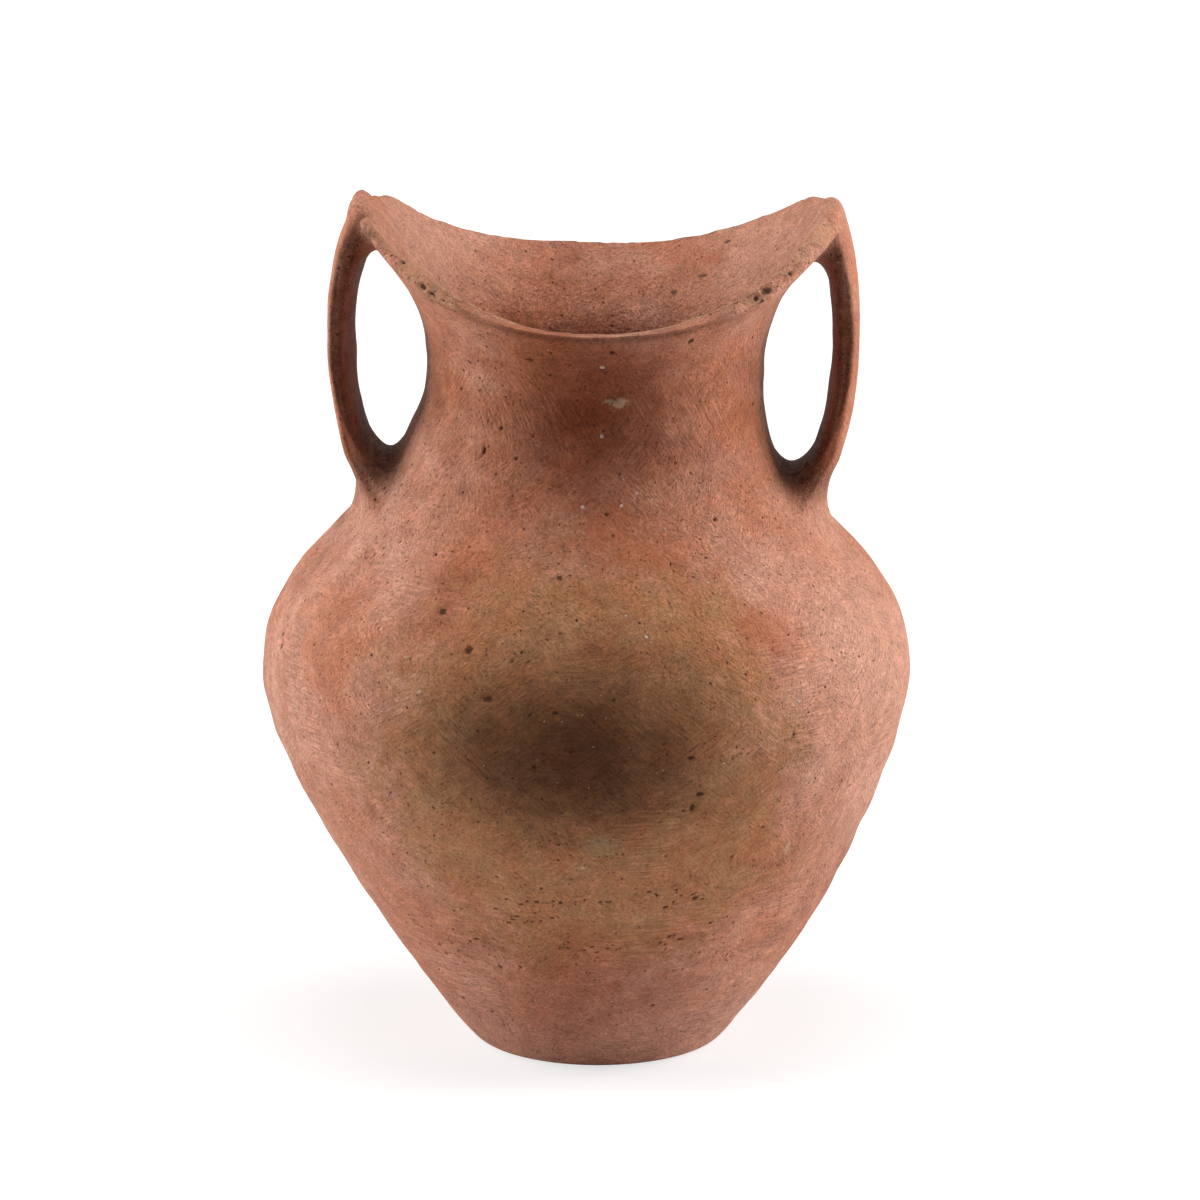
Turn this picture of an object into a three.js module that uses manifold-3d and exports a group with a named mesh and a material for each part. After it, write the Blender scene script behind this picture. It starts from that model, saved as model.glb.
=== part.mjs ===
// Burnished earthenware jar with a saddle mouth and two strap handles, built up from clay coils.
// Millimetres, +Z up. The origin is the middle of the flat underside, the front faces -Y and the handles
// stand on -X (left) and +X (right). Every coil, strap and wad of clay is a solid of its own.
import * as THREE from 'three';
import { mergeVertices } from 'three/addons/utils/BufferGeometryUtils.js';
import Module from 'manifold-3d';

// Outline of the outer wall, from the foot up
const BASE_RADIUS = 49.5;
const FOOT_ROUND = 3.5;
const FOOT_FLARE = 0.84;
const FOOT_SWEEP = 18.7;
const BELLY_RADIUS = 129.3;
const BELLY_HEIGHT = 154.7;
const BELLY_SWEEP_BELOW = 47.5;
const BELLY_SWEEP_ABOVE = 52.2;
const NECK_RADIUS = 66.7;
const NECK_RISE = 122.5;
const NECK_SWEEP = 61.9;

// The hand-built body bulges sideways, between two heights above the floor and two below the waist
const BELLY_LEAN = -4.8;
const LEAN_START_HEIGHT = 35;
const LEAN_FULL_HEIGHT = 150;
const LEAN_FADE_BELOW_WAIST = 52;

// Saddle mouth: low at front and back, drawn up to a peak above each handle
const LIP_RISE = 27.5;
const LEFT_PEAK_RISE = 39;
const RIGHT_PEAK_RISE = 37;
const RIM_SIDE_RADIUS = 93.4;
const RIM_FRONT_RADIUS = 86.8;
const RIM_SQUARENESS = 4.9;
const SADDLE_SHARPNESS = 2.6;
const SIDE_FLARE_POWER = 1.9;
const FRONT_FLARE_POWER = 1.5;

// Clay
const WALL = 6.5;
const LIP = 5;
const LIP_CROWN = 1.2;
const BASE_THICKNESS = 9;
const COIL_HEIGHT = 23.8;
const RIM_COIL_TAIL = 8.6;
const JOINT_RISE = 5;
const JOINT_GAP = 0.3;

// Strap handles: drop is from the peak of the rim down to the foot
const STRAP_THICKNESS = 10.4;
const STRAP_TOP_THICKNESS = 15;
const STRAP_FOOT_THICKNESS = 11.5;
const STRAP_TOP_WIDTH = 42;
const STRAP_WAIST_WIDTH = 34;
const STRAP_FOOT_WIDTH = 44;
const STRAP_TOP_DROP = 6.2;
const STRAP_TOP_SLOPE = THREE.MathUtils.degToRad(22);
const STRAP_FOOT_SLOPE = THREE.MathUtils.degToRad(76);
const STRAP_TOP_SWEEP = 25;
const STRAP_FOOT_SWEEP = 34;
const STRAP_SEAT_DEPTH = 7;
const STRAP_SQUARENESS = 2.6;
const LEFT_HANDLE_DROP = 121;
const RIGHT_HANDLE_DROP = 122;

// Wads of clay worked into the corners between a strap and the wall
const WAD_LEG = 11;
const WAD_EDGE = 0.9;
const WAD_DEPTH = 6;
const WAD_INSET = 4;

// Facets
const SEGMENTS = 40;
const COIL_STEPS = 2;
const RIM_STEPS = 5;
const FOOT_STEPS = 3;
const STRAP_STEPS = 20;
const STRAP_SIDES = 14;
const WAD_STEPS = 5;
const WALL_SAMPLES = 160;
const SEARCH_STEPS = 400;

const NECK_HEIGHT = BELLY_HEIGHT + NECK_RISE;
const RIM_LOW_HEIGHT = NECK_HEIGHT + LIP_RISE;

const CLAY = { red: 0xa8694c, orange: 0xb87a5a, smoked: 0x7d583f, pink: 0xbb8468, dark: 0x8a5843 };
const ROUGHNESS = 0.5;

const wasm = await Module();
wasm.setup();

// Radius and height along the outer wall, from the floor to the waist of the neck
const bodyCurve = new THREE.CurvePath();
bodyCurve.add(new THREE.CubicBezierCurve(
  new THREE.Vector2(BASE_RADIUS, 0),
  new THREE.Vector2(BASE_RADIUS + FOOT_FLARE * FOOT_SWEEP, FOOT_SWEEP),
  new THREE.Vector2(BELLY_RADIUS, BELLY_HEIGHT - BELLY_SWEEP_BELOW),
  new THREE.Vector2(BELLY_RADIUS, BELLY_HEIGHT),
));
bodyCurve.add(new THREE.CubicBezierCurve(
  new THREE.Vector2(BELLY_RADIUS, BELLY_HEIGHT),
  new THREE.Vector2(BELLY_RADIUS, BELLY_HEIGHT + BELLY_SWEEP_ABOVE),
  new THREE.Vector2(NECK_RADIUS, NECK_HEIGHT - NECK_SWEEP),
  new THREE.Vector2(NECK_RADIUS, NECK_HEIGHT),
));
const BODY_LENGTH = bodyCurve.getLength();

// Height and plan radius of the lip at an angle round the jar
function rimAt(angle) {
  const along = Math.cos(angle);
  const rise = along < 0 ? LEFT_PEAK_RISE : RIGHT_PEAK_RISE;
  const pinch = Math.abs(Math.sin(angle)) ** RIM_SQUARENESS;
  return {
    radius: THREE.MathUtils.lerp(RIM_SIDE_RADIUS, RIM_FRONT_RADIUS, pinch),
    flarePower: THREE.MathUtils.lerp(SIDE_FLARE_POWER, FRONT_FLARE_POWER, pinch),
    height: RIM_LOW_HEIGHT + rise * Math.abs(along) ** SADDLE_SHARPNESS,
  };
}

// Sideways shift of the wall's axis at a height
function leanAt(height) {
  const rising = THREE.MathUtils.smoothstep(height, LEAN_START_HEIGHT, LEAN_FULL_HEIGHT);
  const fading = THREE.MathUtils.smoothstep(height, NECK_HEIGHT - LEAN_FADE_BELOW_WAIST, NECK_HEIGHT);
  return BELLY_LEAN * rising * (1 - fading);
}

// Outline of the wall above the waist: 0 at the waist, 1 at the lip
function flarePoint(share, angle) {
  const rim = rimAt(angle);
  return new THREE.Vector2(
    NECK_RADIUS + (rim.radius - NECK_RADIUS) * share ** rim.flarePower,
    NECK_HEIGHT + (rim.height - NECK_HEIGHT) * share,
  );
}

function flareTangent(share, angle) {
  const rim = rimAt(angle);
  return new THREE.Vector2(
    (rim.radius - NECK_RADIUS) * rim.flarePower * share ** (rim.flarePower - 1),
    rim.height - NECK_HEIGHT,
  ).normalize();
}

// A point of the wall: length up the outer outline, depth in from the outer face, angle round the jar
function wallPoint(length, depth, angle) {
  const onBody = length <= BODY_LENGTH;
  const share = (length - BODY_LENGTH) / LIP_RISE;
  const place = onBody ? bodyCurve.getPointAt(length / BODY_LENGTH) : flarePoint(share, angle);
  const tangent = onBody ? bodyCurve.getTangentAt(length / BODY_LENGTH) : flareTangent(share, angle);
  const radius = place.x - depth * tangent.y;
  const height = place.y + depth * tangent.x;
  return new THREE.Vector3(
    leanAt(place.y) + radius * Math.cos(angle), radius * Math.sin(angle), height);
}

const WALL_LENGTH = BODY_LENGTH + LIP_RISE;

// The rim's coil starts a little below the waist, and the wall under it is shared among whole coils
const RIM_START = BODY_LENGTH - RIM_COIL_TAIL;
const coilCount = Math.round(RIM_START / COIL_HEIGHT);
const coilPitch = RIM_START / coilCount;

// Wall thickness, thinned towards the lip
function wallAt(length) {
  return WALL + (LIP - WALL) * THREE.MathUtils.smoothstep(length, BODY_LENGTH, WALL_LENGTH);
}

function angleOf(index) {
  return (index / SEGMENTS) * 2 * Math.PI;
}

// A closed solid through rings of points, each listed anticlockwise as seen looking back along the loft.
// A looped loft joins its last ring to its first, and any other one gets a cap at each end.
function loft(rings, looped) {
  const sides = rings[0].length;
  const points = rings.flat();
  const index = [];
  const spans = looped ? rings.length : rings.length - 1;
  for (let ring = 0; ring < spans; ring += 1) {
    const next = (ring + 1) % rings.length;
    for (let side = 0; side < sides; side += 1) {
      const after = (side + 1) % sides;
      const [a, b] = [ring * sides + side, ring * sides + after];
      const [c, d] = [next * sides + side, next * sides + after];
      index.push(a, b, d, a, d, c);
    }
  }
  if (!looped) {
    addCap(points, index, rings[0], 0, true);
    addCap(points, index, rings[rings.length - 1], (rings.length - 1) * sides, false);
  }
  const geometry = new THREE.BufferGeometry();
  geometry.setFromPoints(points);
  geometry.setIndex(index);
  return geometry;
}

// A fan from the middle of a ring to its points
function addCap(points, index, ring, first, facesBack) {
  const middle = ring.reduce((sum, point) => sum.add(point), new THREE.Vector3()).divideScalar(ring.length);
  const hub = points.push(middle) - 1;
  for (let side = 0; side < ring.length; side += 1) {
    const here = first + side;
    const after = first + ((side + 1) % ring.length);
    index.push(...(facesBack ? [hub, after, here] : [hub, here, after]));
  }
}

function toManifold(geometry) {
  const bare = geometry.clone();
  bare.deleteAttribute('normal');
  bare.deleteAttribute('uv');
  const merged = mergeVertices(bare);
  return new wasm.Manifold(new wasm.Mesh({
    numProp: 3,
    vertProperties: new Float32Array(merged.attributes.position.array),
    triVerts: new Uint32Array(merged.index.array),
  }));
}

function toGeometry(solid) {
  const mesh = solid.getMesh();
  const geometry = new THREE.BufferGeometry();
  geometry.setAttribute('position', new THREE.BufferAttribute(mesh.vertProperties, mesh.numProp));
  geometry.setIndex(new THREE.BufferAttribute(mesh.triVerts, 1));
  geometry.computeVertexNormals();
  return geometry;
}

function piece(name, geometry, colour) {
  const material = new THREE.MeshStandardMaterial({ color: colour, roughness: ROUGHNESS, metalness: 0 });
  if (!geometry.attributes.normal) geometry.computeVertexNormals();
  const mesh = new THREE.Mesh(geometry, material);
  mesh.name = name;
  return mesh;
}

// The belly was smoked in the fire, and the clay is redder below it and paler above
function firedColour(height) {
  if (height < BELLY_HEIGHT - BELLY_SWEEP_BELOW) return CLAY.red;
  return height < BELLY_HEIGHT + BELLY_SWEEP_ABOVE ? CLAY.smoked : CLAY.orange;
}

// One coil: its joints climb from the outer face to the inner one, so each coil laps on the coil below
function coilRing(angle, bottom, top, steps) {
  const ring = [];
  for (let step = 0; step <= steps; step += 1) {
    const length = THREE.MathUtils.lerp(bottom, top, step / steps);
    ring.push(wallPoint(length, 0, angle));
  }
  for (let step = steps; step >= 0; step -= 1) {
    const length = THREE.MathUtils.lerp(bottom, top, step / steps) + JOINT_RISE;
    ring.push(wallPoint(length, wallAt(length), angle));
  }
  return ring;
}

// The first coil stands on the floor round the base slab, with a soft outer edge and a flat underside
function footRing(angle, top) {
  const ring = [];
  const corner = wallPoint(0, 0, angle);
  const inward = new THREE.Vector3(-Math.cos(angle), -Math.sin(angle), 0);
  for (let step = 0; step <= FOOT_STEPS; step += 1) {
    const share = step / FOOT_STEPS;
    const arc = new THREE.QuadraticBezierCurve3(
      corner.clone().addScaledVector(inward, FOOT_ROUND), corner, wallPoint(FOOT_ROUND, 0, angle));
    ring.push(arc.getPoint(share));
  }
  ring.push(wallPoint(THREE.MathUtils.lerp(FOOT_ROUND, top, 1 / COIL_STEPS), 0, angle));
  ring.push(wallPoint(top, 0, angle));
  const seat = seatPoint(0, angle);
  const ledge = seatPoint(BASE_THICKNESS, angle);
  ring.push(wallPoint(top + JOINT_RISE, wallAt(top), angle));
  ring.push(ledge);
  ring.push(seat);
  return ring;
}

// Inner face of the first coil at a height, where the slab is seated
function seatPoint(height, angle) {
  const tangent = bodyCurve.getTangentAt(0);
  const radius = BASE_RADIUS - WALL / tangent.y + (height * tangent.x) / tangent.y;
  return new THREE.Vector3(radius * Math.cos(angle), radius * Math.sin(angle), height);
}

// The last coil, drawn up into the saddle, with a rounded lip
function rimRing(angle, bottom) {
  const ring = [];
  for (let step = 0; step <= RIM_STEPS; step += 1) {
    const length = THREE.MathUtils.lerp(bottom, WALL_LENGTH, step / RIM_STEPS);
    ring.push(wallPoint(length, 0, angle));
  }
  const outer = ring[ring.length - 1];
  const inner = wallPoint(WALL_LENGTH, LIP, angle);
  const rise = flareTangent(1, angle);
  const crown = outer.clone().lerp(inner, 1 / 2);
  crown.add(new THREE.Vector3(
    rise.x * Math.cos(angle), rise.x * Math.sin(angle), rise.y).multiplyScalar(LIP_CROWN));
  ring.push(crown);
  for (let step = RIM_STEPS; step >= 0; step -= 1) {
    const length = THREE.MathUtils.lerp(bottom + JOINT_RISE, WALL_LENGTH, step / RIM_STEPS);
    ring.push(wallPoint(length, wallAt(length), angle));
  }
  return ring;
}

function ringsRound(section) {
  return Array.from({ length: SEGMENTS }, (unused, index) => section(angleOf(index)));
}

// A ring of clay from a section listed up its outer face and down its inner one
function clayRing(section) {
  return loft(ringsRound((angle) => section(angle).reverse()), true);
}

// The slab fills the first coil's inside, with a sloping edge
function baseSlab() {
  const rings = [0, BASE_THICKNESS].map((height) => ringsRound((angle) => {
    const seat = seatPoint(height, angle);
    const clear = new THREE.Vector3(Math.cos(angle), Math.sin(angle), 0).multiplyScalar(-JOINT_GAP);
    return seat.add(clear);
  }));
  return loft(rings, false);
}

// Lengths up the outer face at which the coils and the rim have their corners
function outerRows() {
  const rows = [];
  for (let coil = 0; coil < coilCount; coil += 1) {
    for (let step = 0; step < COIL_STEPS; step += 1) rows.push((coil + step / COIL_STEPS) * coilPitch);
  }
  for (let step = 0; step <= RIM_STEPS; step += 1) {
    rows.push(THREE.MathUtils.lerp(RIM_START, WALL_LENGTH, step / RIM_STEPS));
  }
  return rows;
}

// Everything within the outer face of the wall, grown by the joint gap, and open space above the mouth
function wallEnvelope() {
  const rings = outerRows().map((length) => ringsRound((angle) => wallPoint(length, -JOINT_GAP, angle)));
  const above = rings[rings.length - 1].map((point) => new THREE.Vector3(
    point.x, point.y, RIM_LOW_HEIGHT + 2 * Math.max(LEFT_PEAK_RISE, RIGHT_PEAK_RISE)));
  rings.push(above);
  return toManifold(loft(rings, false));
}

// The wall's outline on one side, as places in the handle's upright plane
function sideOutline(side) {
  const angle = side < 0 ? Math.PI : 0;
  return Array.from({ length: WALL_SAMPLES + 1 }, (unused, index) => {
    const point = wallPoint((WALL_LENGTH * index) / WALL_SAMPLES, 0, angle);
    return new THREE.Vector2(point.x * side, point.z);
  });
}

// Distance of the wall's outer face from the axis at a height, in the handle's upright plane
function sideReach(outline, height) {
  const upper = outline.findIndex((point) => point.y >= height);
  if (upper < 0) return outline[outline.length - 1].x;
  if (upper === 0) return outline[0].x;
  const [low, high] = [outline[upper - 1], outline[upper]];
  return THREE.MathUtils.mapLinear(height, low.y, high.y, low.x, high.x);
}

// Middle line of a strap, from inside the rim's peak, out and down to inside the shoulder
function strapLine(outline, peakRise, drop) {
  const peak = RIM_LOW_HEIGHT + peakRise;
  const topHeight = peak - STRAP_TOP_DROP;
  const footHeight = peak - drop;
  const outward = new THREE.Vector2(Math.cos(STRAP_TOP_SLOPE), -Math.sin(STRAP_TOP_SLOPE));
  const downward = new THREE.Vector2(-Math.cos(STRAP_FOOT_SLOPE), -Math.sin(STRAP_FOOT_SLOPE));
  const top = new THREE.Vector2(sideReach(outline, topHeight), topHeight).addScaledVector(
    outward, -STRAP_SEAT_DEPTH);
  const foot = new THREE.Vector2(sideReach(outline, footHeight), footHeight).addScaledVector(
    downward, STRAP_SEAT_DEPTH);
  return new THREE.CubicBezierCurve(
    top,
    top.clone().addScaledVector(outward, STRAP_TOP_SWEEP + STRAP_SEAT_DEPTH),
    foot.clone().addScaledVector(downward, -STRAP_FOOT_SWEEP - STRAP_SEAT_DEPTH),
    foot,
  );
}

// A size of the strap along its length, growing from its waist to each root
function strapSize(share, waist, top, foot) {
  const fromWaist = Math.abs(2 * share - 1);
  return THREE.MathUtils.lerp(waist, share < 1 / 2 ? top : foot, fromWaist * fromWaist);
}

function strapWidth(share) {
  return strapSize(share, STRAP_WAIST_WIDTH, STRAP_TOP_WIDTH, STRAP_FOOT_WIDTH);
}

function strapThickness(share) {
  return strapSize(share, STRAP_THICKNESS, STRAP_TOP_THICKNESS, STRAP_FOOT_THICKNESS);
}

// Side of the strap that faces the neck
function inwardNormal(line, share) {
  const tangent = line.getTangent(share);
  return new THREE.Vector2(tangent.y, -tangent.x);
}

// Flattened oval section swept along the middle line, grown by a clearance
function strapSolid(line, side, clearance) {
  const rings = [];
  for (let step = 0; step <= STRAP_STEPS; step += 1) {
    const share = step / STRAP_STEPS;
    const middle = line.getPoint(share);
    const normal = inwardNormal(line, share);
    const ring = [];
    for (let corner = 0; corner < STRAP_SIDES; corner += 1) {
      const turn = (corner / STRAP_SIDES) * 2 * Math.PI * side;
      const across = ovalShare(Math.sin(turn)) * (strapWidth(share) / 2 + clearance);
      const through = ovalShare(Math.cos(turn)) * (strapThickness(share) / 2 + clearance);
      const reach = middle.x + normal.x * through;
      ring.push(new THREE.Vector3(side * reach, across, middle.y + normal.y * through));
    }
    rings.push(ring);
  }
  return toManifold(loft(rings, false));
}

function ovalShare(value) {
  return Math.sign(value) * Math.abs(value) ** (2 / STRAP_SQUARENESS);
}

// Corner where the strap's inner face runs into the wall, searched from its waist towards one end
function cornerShare(line, outline, end) {
  for (let step = 0; step <= SEARCH_STEPS; step += 1) {
    const share = THREE.MathUtils.lerp(1 / 2, end, step / SEARCH_STEPS);
    const point = innerFacePoint(line, share);
    if (point.x <= sideReach(outline, point.y)) return share;
  }
  return end;
}

function innerFacePoint(line, share) {
  return line.getPoint(share).addScaledVector(inwardNormal(line, share), strapThickness(share) / 2);
}

// A prism with a hollow face that fills the corner at one end of a strap, before it is trimmed
function wadBlock(line, outline, side, end) {
  const share = cornerShare(line, outline, end);
  const corner = innerFacePoint(line, share);
  const towardWaist = end === 0 ? 1 : -1;
  const alongStrap = line.getTangent(share).multiplyScalar(towardWaist);
  const offStrap = inwardNormal(line, share);
  const wallStep = new THREE.Vector2(0, alongStrap.y > 0 ? WAD_LEG : -WAD_LEG);
  const wallEnd = new THREE.Vector2(sideReach(outline, corner.y + wallStep.y), corner.y + wallStep.y);
  const alongWall = wallEnd.clone().sub(corner).normalize();
  const offWall = new THREE.Vector2(-alongWall.y, alongWall.x);
  if (offWall.dot(alongStrap) < 0) offWall.negate();
  const onStrap = corner.clone().addScaledVector(alongStrap, WAD_LEG).addScaledVector(offStrap, WAD_EDGE);
  const onWall = corner.clone().addScaledVector(alongWall, WAD_LEG).addScaledVector(offWall, WAD_EDGE);
  const arc = new THREE.QuadraticBezierCurve(onStrap, corner, onWall).getPoints(WAD_STEPS);
  const inStrap = onStrap.clone().addScaledVector(offStrap, -STRAP_THICKNESS / 2);
  const inWall = onWall.clone().addScaledVector(offWall, -WAD_DEPTH);
  const inCorner = corner.clone().addScaledVector(alongStrap, -WAD_DEPTH);
  const section = new THREE.Shape([inStrap, ...arc, inWall, inCorner].map(
    (point) => new THREE.Vector2(side * point.x, point.y)));
  const width = strapWidth(share) - 2 * WAD_INSET;
  const block = new THREE.ExtrudeGeometry(section, { depth: width, bevelEnabled: false });
  block.rotateX(Math.PI / 2);
  block.translate(0, width / 2, 0);
  return toManifold(block);
}

const envelope = wallEnvelope();
const jar = new THREE.Group();

// Base and coils
jar.add(piece('base_slab', baseSlab(), CLAY.red));
for (let coil = 0; coil < coilCount; coil += 1) {
  const bottom = coil * coilPitch + JOINT_GAP / 2;
  const top = (coil + 1) * coilPitch - JOINT_GAP / 2;
  const section = coil === 0
    ? (angle) => footRing(angle, top)
    : (angle) => coilRing(angle, bottom, top, COIL_STEPS);
  const number = String(coil + 1).padStart(2, '0');
  const middle = bodyCurve.getPointAt((coil + 1 / 2) * coilPitch / BODY_LENGTH);
  jar.add(piece(`wall_coil_${number}`, clayRing(section), firedColour(middle.y)));
}
const rimBottom = RIM_START + JOINT_GAP / 2;
jar.add(piece('saddle_rim', clayRing((angle) => rimRing(angle, rimBottom)), CLAY.pink));

// Handles with their wads
const handles = [
  { name: 'left', side: -1, peakRise: LEFT_PEAK_RISE, drop: LEFT_HANDLE_DROP },
  { name: 'right', side: 1, peakRise: RIGHT_PEAK_RISE, drop: RIGHT_HANDLE_DROP },
];
for (const { name, side, peakRise, drop } of handles) {
  const outline = sideOutline(side);
  const line = strapLine(outline, peakRise, drop);
  const strap = strapSolid(line, side, 0).subtract(envelope);
  const strapRoom = strapSolid(line, side, JOINT_GAP);
  jar.add(piece(`${name}_handle`, toGeometry(strap), CLAY.dark));
  for (const [place, end] of [['top', 0], ['foot', 1]]) {
    const wad = wadBlock(line, outline, side, end).subtract(envelope).subtract(strapRoom);
    jar.add(piece(`${name}_${place}_wad`, toGeometry(wad), CLAY.dark));
  }
}

export default jar;
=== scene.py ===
"""Builds a hand-built burnished earthenware jar with a saddle mouth and two strap handles over its CAD frame."""
import math
from collections import namedtuple

import bmesh
import bpy
import numpy as np
from bpy.props import FloatProperty, FloatVectorProperty, IntProperty, PointerProperty
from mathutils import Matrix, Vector


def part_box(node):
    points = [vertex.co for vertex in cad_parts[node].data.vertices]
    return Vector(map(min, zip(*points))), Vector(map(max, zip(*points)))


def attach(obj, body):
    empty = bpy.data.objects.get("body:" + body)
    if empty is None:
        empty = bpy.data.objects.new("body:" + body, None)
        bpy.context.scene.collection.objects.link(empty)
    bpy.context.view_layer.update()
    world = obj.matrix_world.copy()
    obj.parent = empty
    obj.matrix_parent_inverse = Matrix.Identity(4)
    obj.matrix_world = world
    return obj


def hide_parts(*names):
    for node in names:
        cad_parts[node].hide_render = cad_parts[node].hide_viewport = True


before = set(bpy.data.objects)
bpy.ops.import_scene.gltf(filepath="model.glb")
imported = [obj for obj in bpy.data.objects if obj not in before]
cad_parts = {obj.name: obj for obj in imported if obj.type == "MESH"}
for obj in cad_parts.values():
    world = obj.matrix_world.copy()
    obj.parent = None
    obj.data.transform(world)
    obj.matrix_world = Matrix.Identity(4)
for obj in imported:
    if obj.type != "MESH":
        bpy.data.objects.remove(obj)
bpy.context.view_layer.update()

bl_info = {
    "name": "Burnished Pottery Jar",
    "version": (1, 0, 0),
    "blender": (4, 5, 0),
    "location": "3D View > Sidebar > Pottery Jar",
    "description": "Builds a burnished earthenware jar with a saddle mouth, coil walls and strap handles",
    "category": "Add Mesh",
}

BODY = "root"
BAKE_MAP = "OFBake"
MM = 0.001
FULL_TURN = 2 * math.pi
LEFT, RIGHT = -1, 1
HANDS = (("left", LEFT), ("right", RIGHT))

# The photograph's frame, which places the marks on the clay
PHOTO_SIDE = 1200

# Sheets of the wall's skin
OUTER, LIP, INNER = 0, 1, 2

# Names of the looks that the clay materials read from the pieces
LOOKS = ("bare", "hollow", "slate", "lime_and_highlight", "soot_and_shade", "rub")


def size(label, default, text):
    """A length in metres."""
    return FloatProperty(name=label, description=text, default=default, unit="LENGTH", precision=4)


def share(label, default, text):
    """A plain number."""
    return FloatProperty(name=label, description=text, default=default, precision=3)


def slope(label, degrees, text):
    """An angle."""
    return FloatProperty(name=label, description=text, default=math.radians(degrees), subtype="ANGLE")


def spot(label, out, height, text):
    """A place beside the axis: distance out and height, in metres."""
    return FloatVectorProperty(name=label, description=text, size=2, default=(out, height), unit="LENGTH", precision=4)


def count(label, default, text):
    """A whole number."""
    return IntProperty(name=label, description=text, default=default, min=1)


def tint(label, red, green, blue, text):
    """A colour in screen values from 0 to 255."""
    return FloatVectorProperty(name=label, description=text, size=4, min=0, max=1, subtype="COLOR",
                               default=(*(linear(value) for value in (red, green, blue)), 1))


def linear(value):
    """Screen value from 0 to 255 as a linear one, by the usual screen curve."""
    level = value / 255
    return level / 12.92 if level <= 0.04045 else ((level + 0.055) / 1.055) ** 2.4


class JarBodySizes(bpy.types.PropertyGroup):
    """Sizes of the wall below the mouth."""
    foot_radius: size("Foot radius", 0.0495, "Radius of the flat underside")
    foot_round: size("Foot rounding", 0.0035, "Rounding of the edge that the jar stands on")
    foot_flare: share("Foot flare", 0.84, "Run outwards for each unit of rise at the foot")
    foot_sweep: size("Foot sweep", 0.0187, "Height over which the foot's flare holds")
    belly_radius: size("Belly radius", 0.1293, "Widest radius of the wall")
    belly_height: size("Belly height", 0.1547, "Height of the widest part")
    sweep_below: size("Sweep below", 0.0475, "Pull of the belly on the outline below it")
    sweep_above: size("Sweep above", 0.0510, "Pull of the belly on the outline above it")
    neck_radius: size("Neck radius", 0.0670, "Radius at the waist of the neck")
    neck_rise: size("Neck rise", 0.1225, "Height of the waist above the belly")
    neck_sweep: size("Neck sweep", 0.0619, "Pull of the waist on the outline below it")
    belly_lean: size("Belly lean", -0.0048, "Sideways bulge of the body")
    neck_lean: size("Neck lean", -0.0006, "Sideways shift of the neck")
    lean_start: size("Lean start", 0.035, "Height at which the bulge starts")
    lean_full: size("Lean full", 0.150, "Height at which the bulge is full")
    lean_fade: size("Lean fade", 0.042, "Distance below the waist over which the bulge fades")
    wall: size("Wall", 0.0065, "Thickness of the wall")
    slab: size("Base slab", 0.009, "Thickness of the base slab")
    coils: count("Coils", 13, "Coils in the wall below the mouth's coil")
    rim_tail: size("Rim tail", 0.0086, "Distance of the mouth's joint below the waist")
    joint_rise: size("Joint rise", 0.005, "Climb of a joint from the outer face inwards")


class JarMouthSizes(bpy.types.PropertyGroup):
    """Sizes of the saddle mouth."""
    lip_rise: size("Lip rise", 0.0275, "Height of the lip's front above the waist")
    left_peak: size("Left peak", 0.0396, "Rise of the lip to the left handle")
    right_peak: size("Right peak", 0.037, "Rise of the lip to the right handle")
    peak_flat: share("Peak flat", 0.075, "Share of the rise flattened at the peaks")
    front_raise: size("Front raise", 0.0028, "Extra height of the lip's front")
    back_raise: size("Back raise", 0.0010, "Extra height of the lip's back")
    back_tilt: size("Back tilt", 0.0035, "Fall of the lip's back towards the right")
    left_turn: size("Left turn", 0.0087, "Outward run of the lip for each radian towards the front")
    right_out: size("Right out", 0.0015, "Extra reach of the lip at the right handle")
    left_thin: share("Left thin", 0.42, "Share of the lip's thickness lost at the front left")
    left_swell: size("Left swell", 0.0014, "Thickening of the lip at the front left")
    right_swell: size("Right swell", 0.0030, "Thickening of the lip at the front right")
    side_radius: size("Side radius", 0.0934, "Radius of the lip at the handles")
    front_radius: size("Front radius", 0.0868, "Radius of the lip at front and back")
    squareness: share("Squareness", 4.9, "How suddenly the lip's plan turns from side to front")
    front_dip: share("Front dip", 2.6, "How fast the front lip falls from the peaks")
    left_back_dip: share("Left back dip", 3.5, "How fast the back lip falls from the left peak")
    right_back_dip: share("Right back dip", 2.95, "How fast the back lip falls from the right peak")
    side_flare: share("Side flare", 1.8, "Curl of the flare at the handles")
    front_flare: share("Front flare", 1.5, "Curl of the flare at front and back")
    lip: size("Lip", 0.005, "Thickness of the lip")
    outer_edge: size("Outer edge", 0.0017, "Rounding of the lip's outer edge")
    inner_edge: size("Inner edge", 0.0008, "Rounding of the lip's inner edge")


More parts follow.
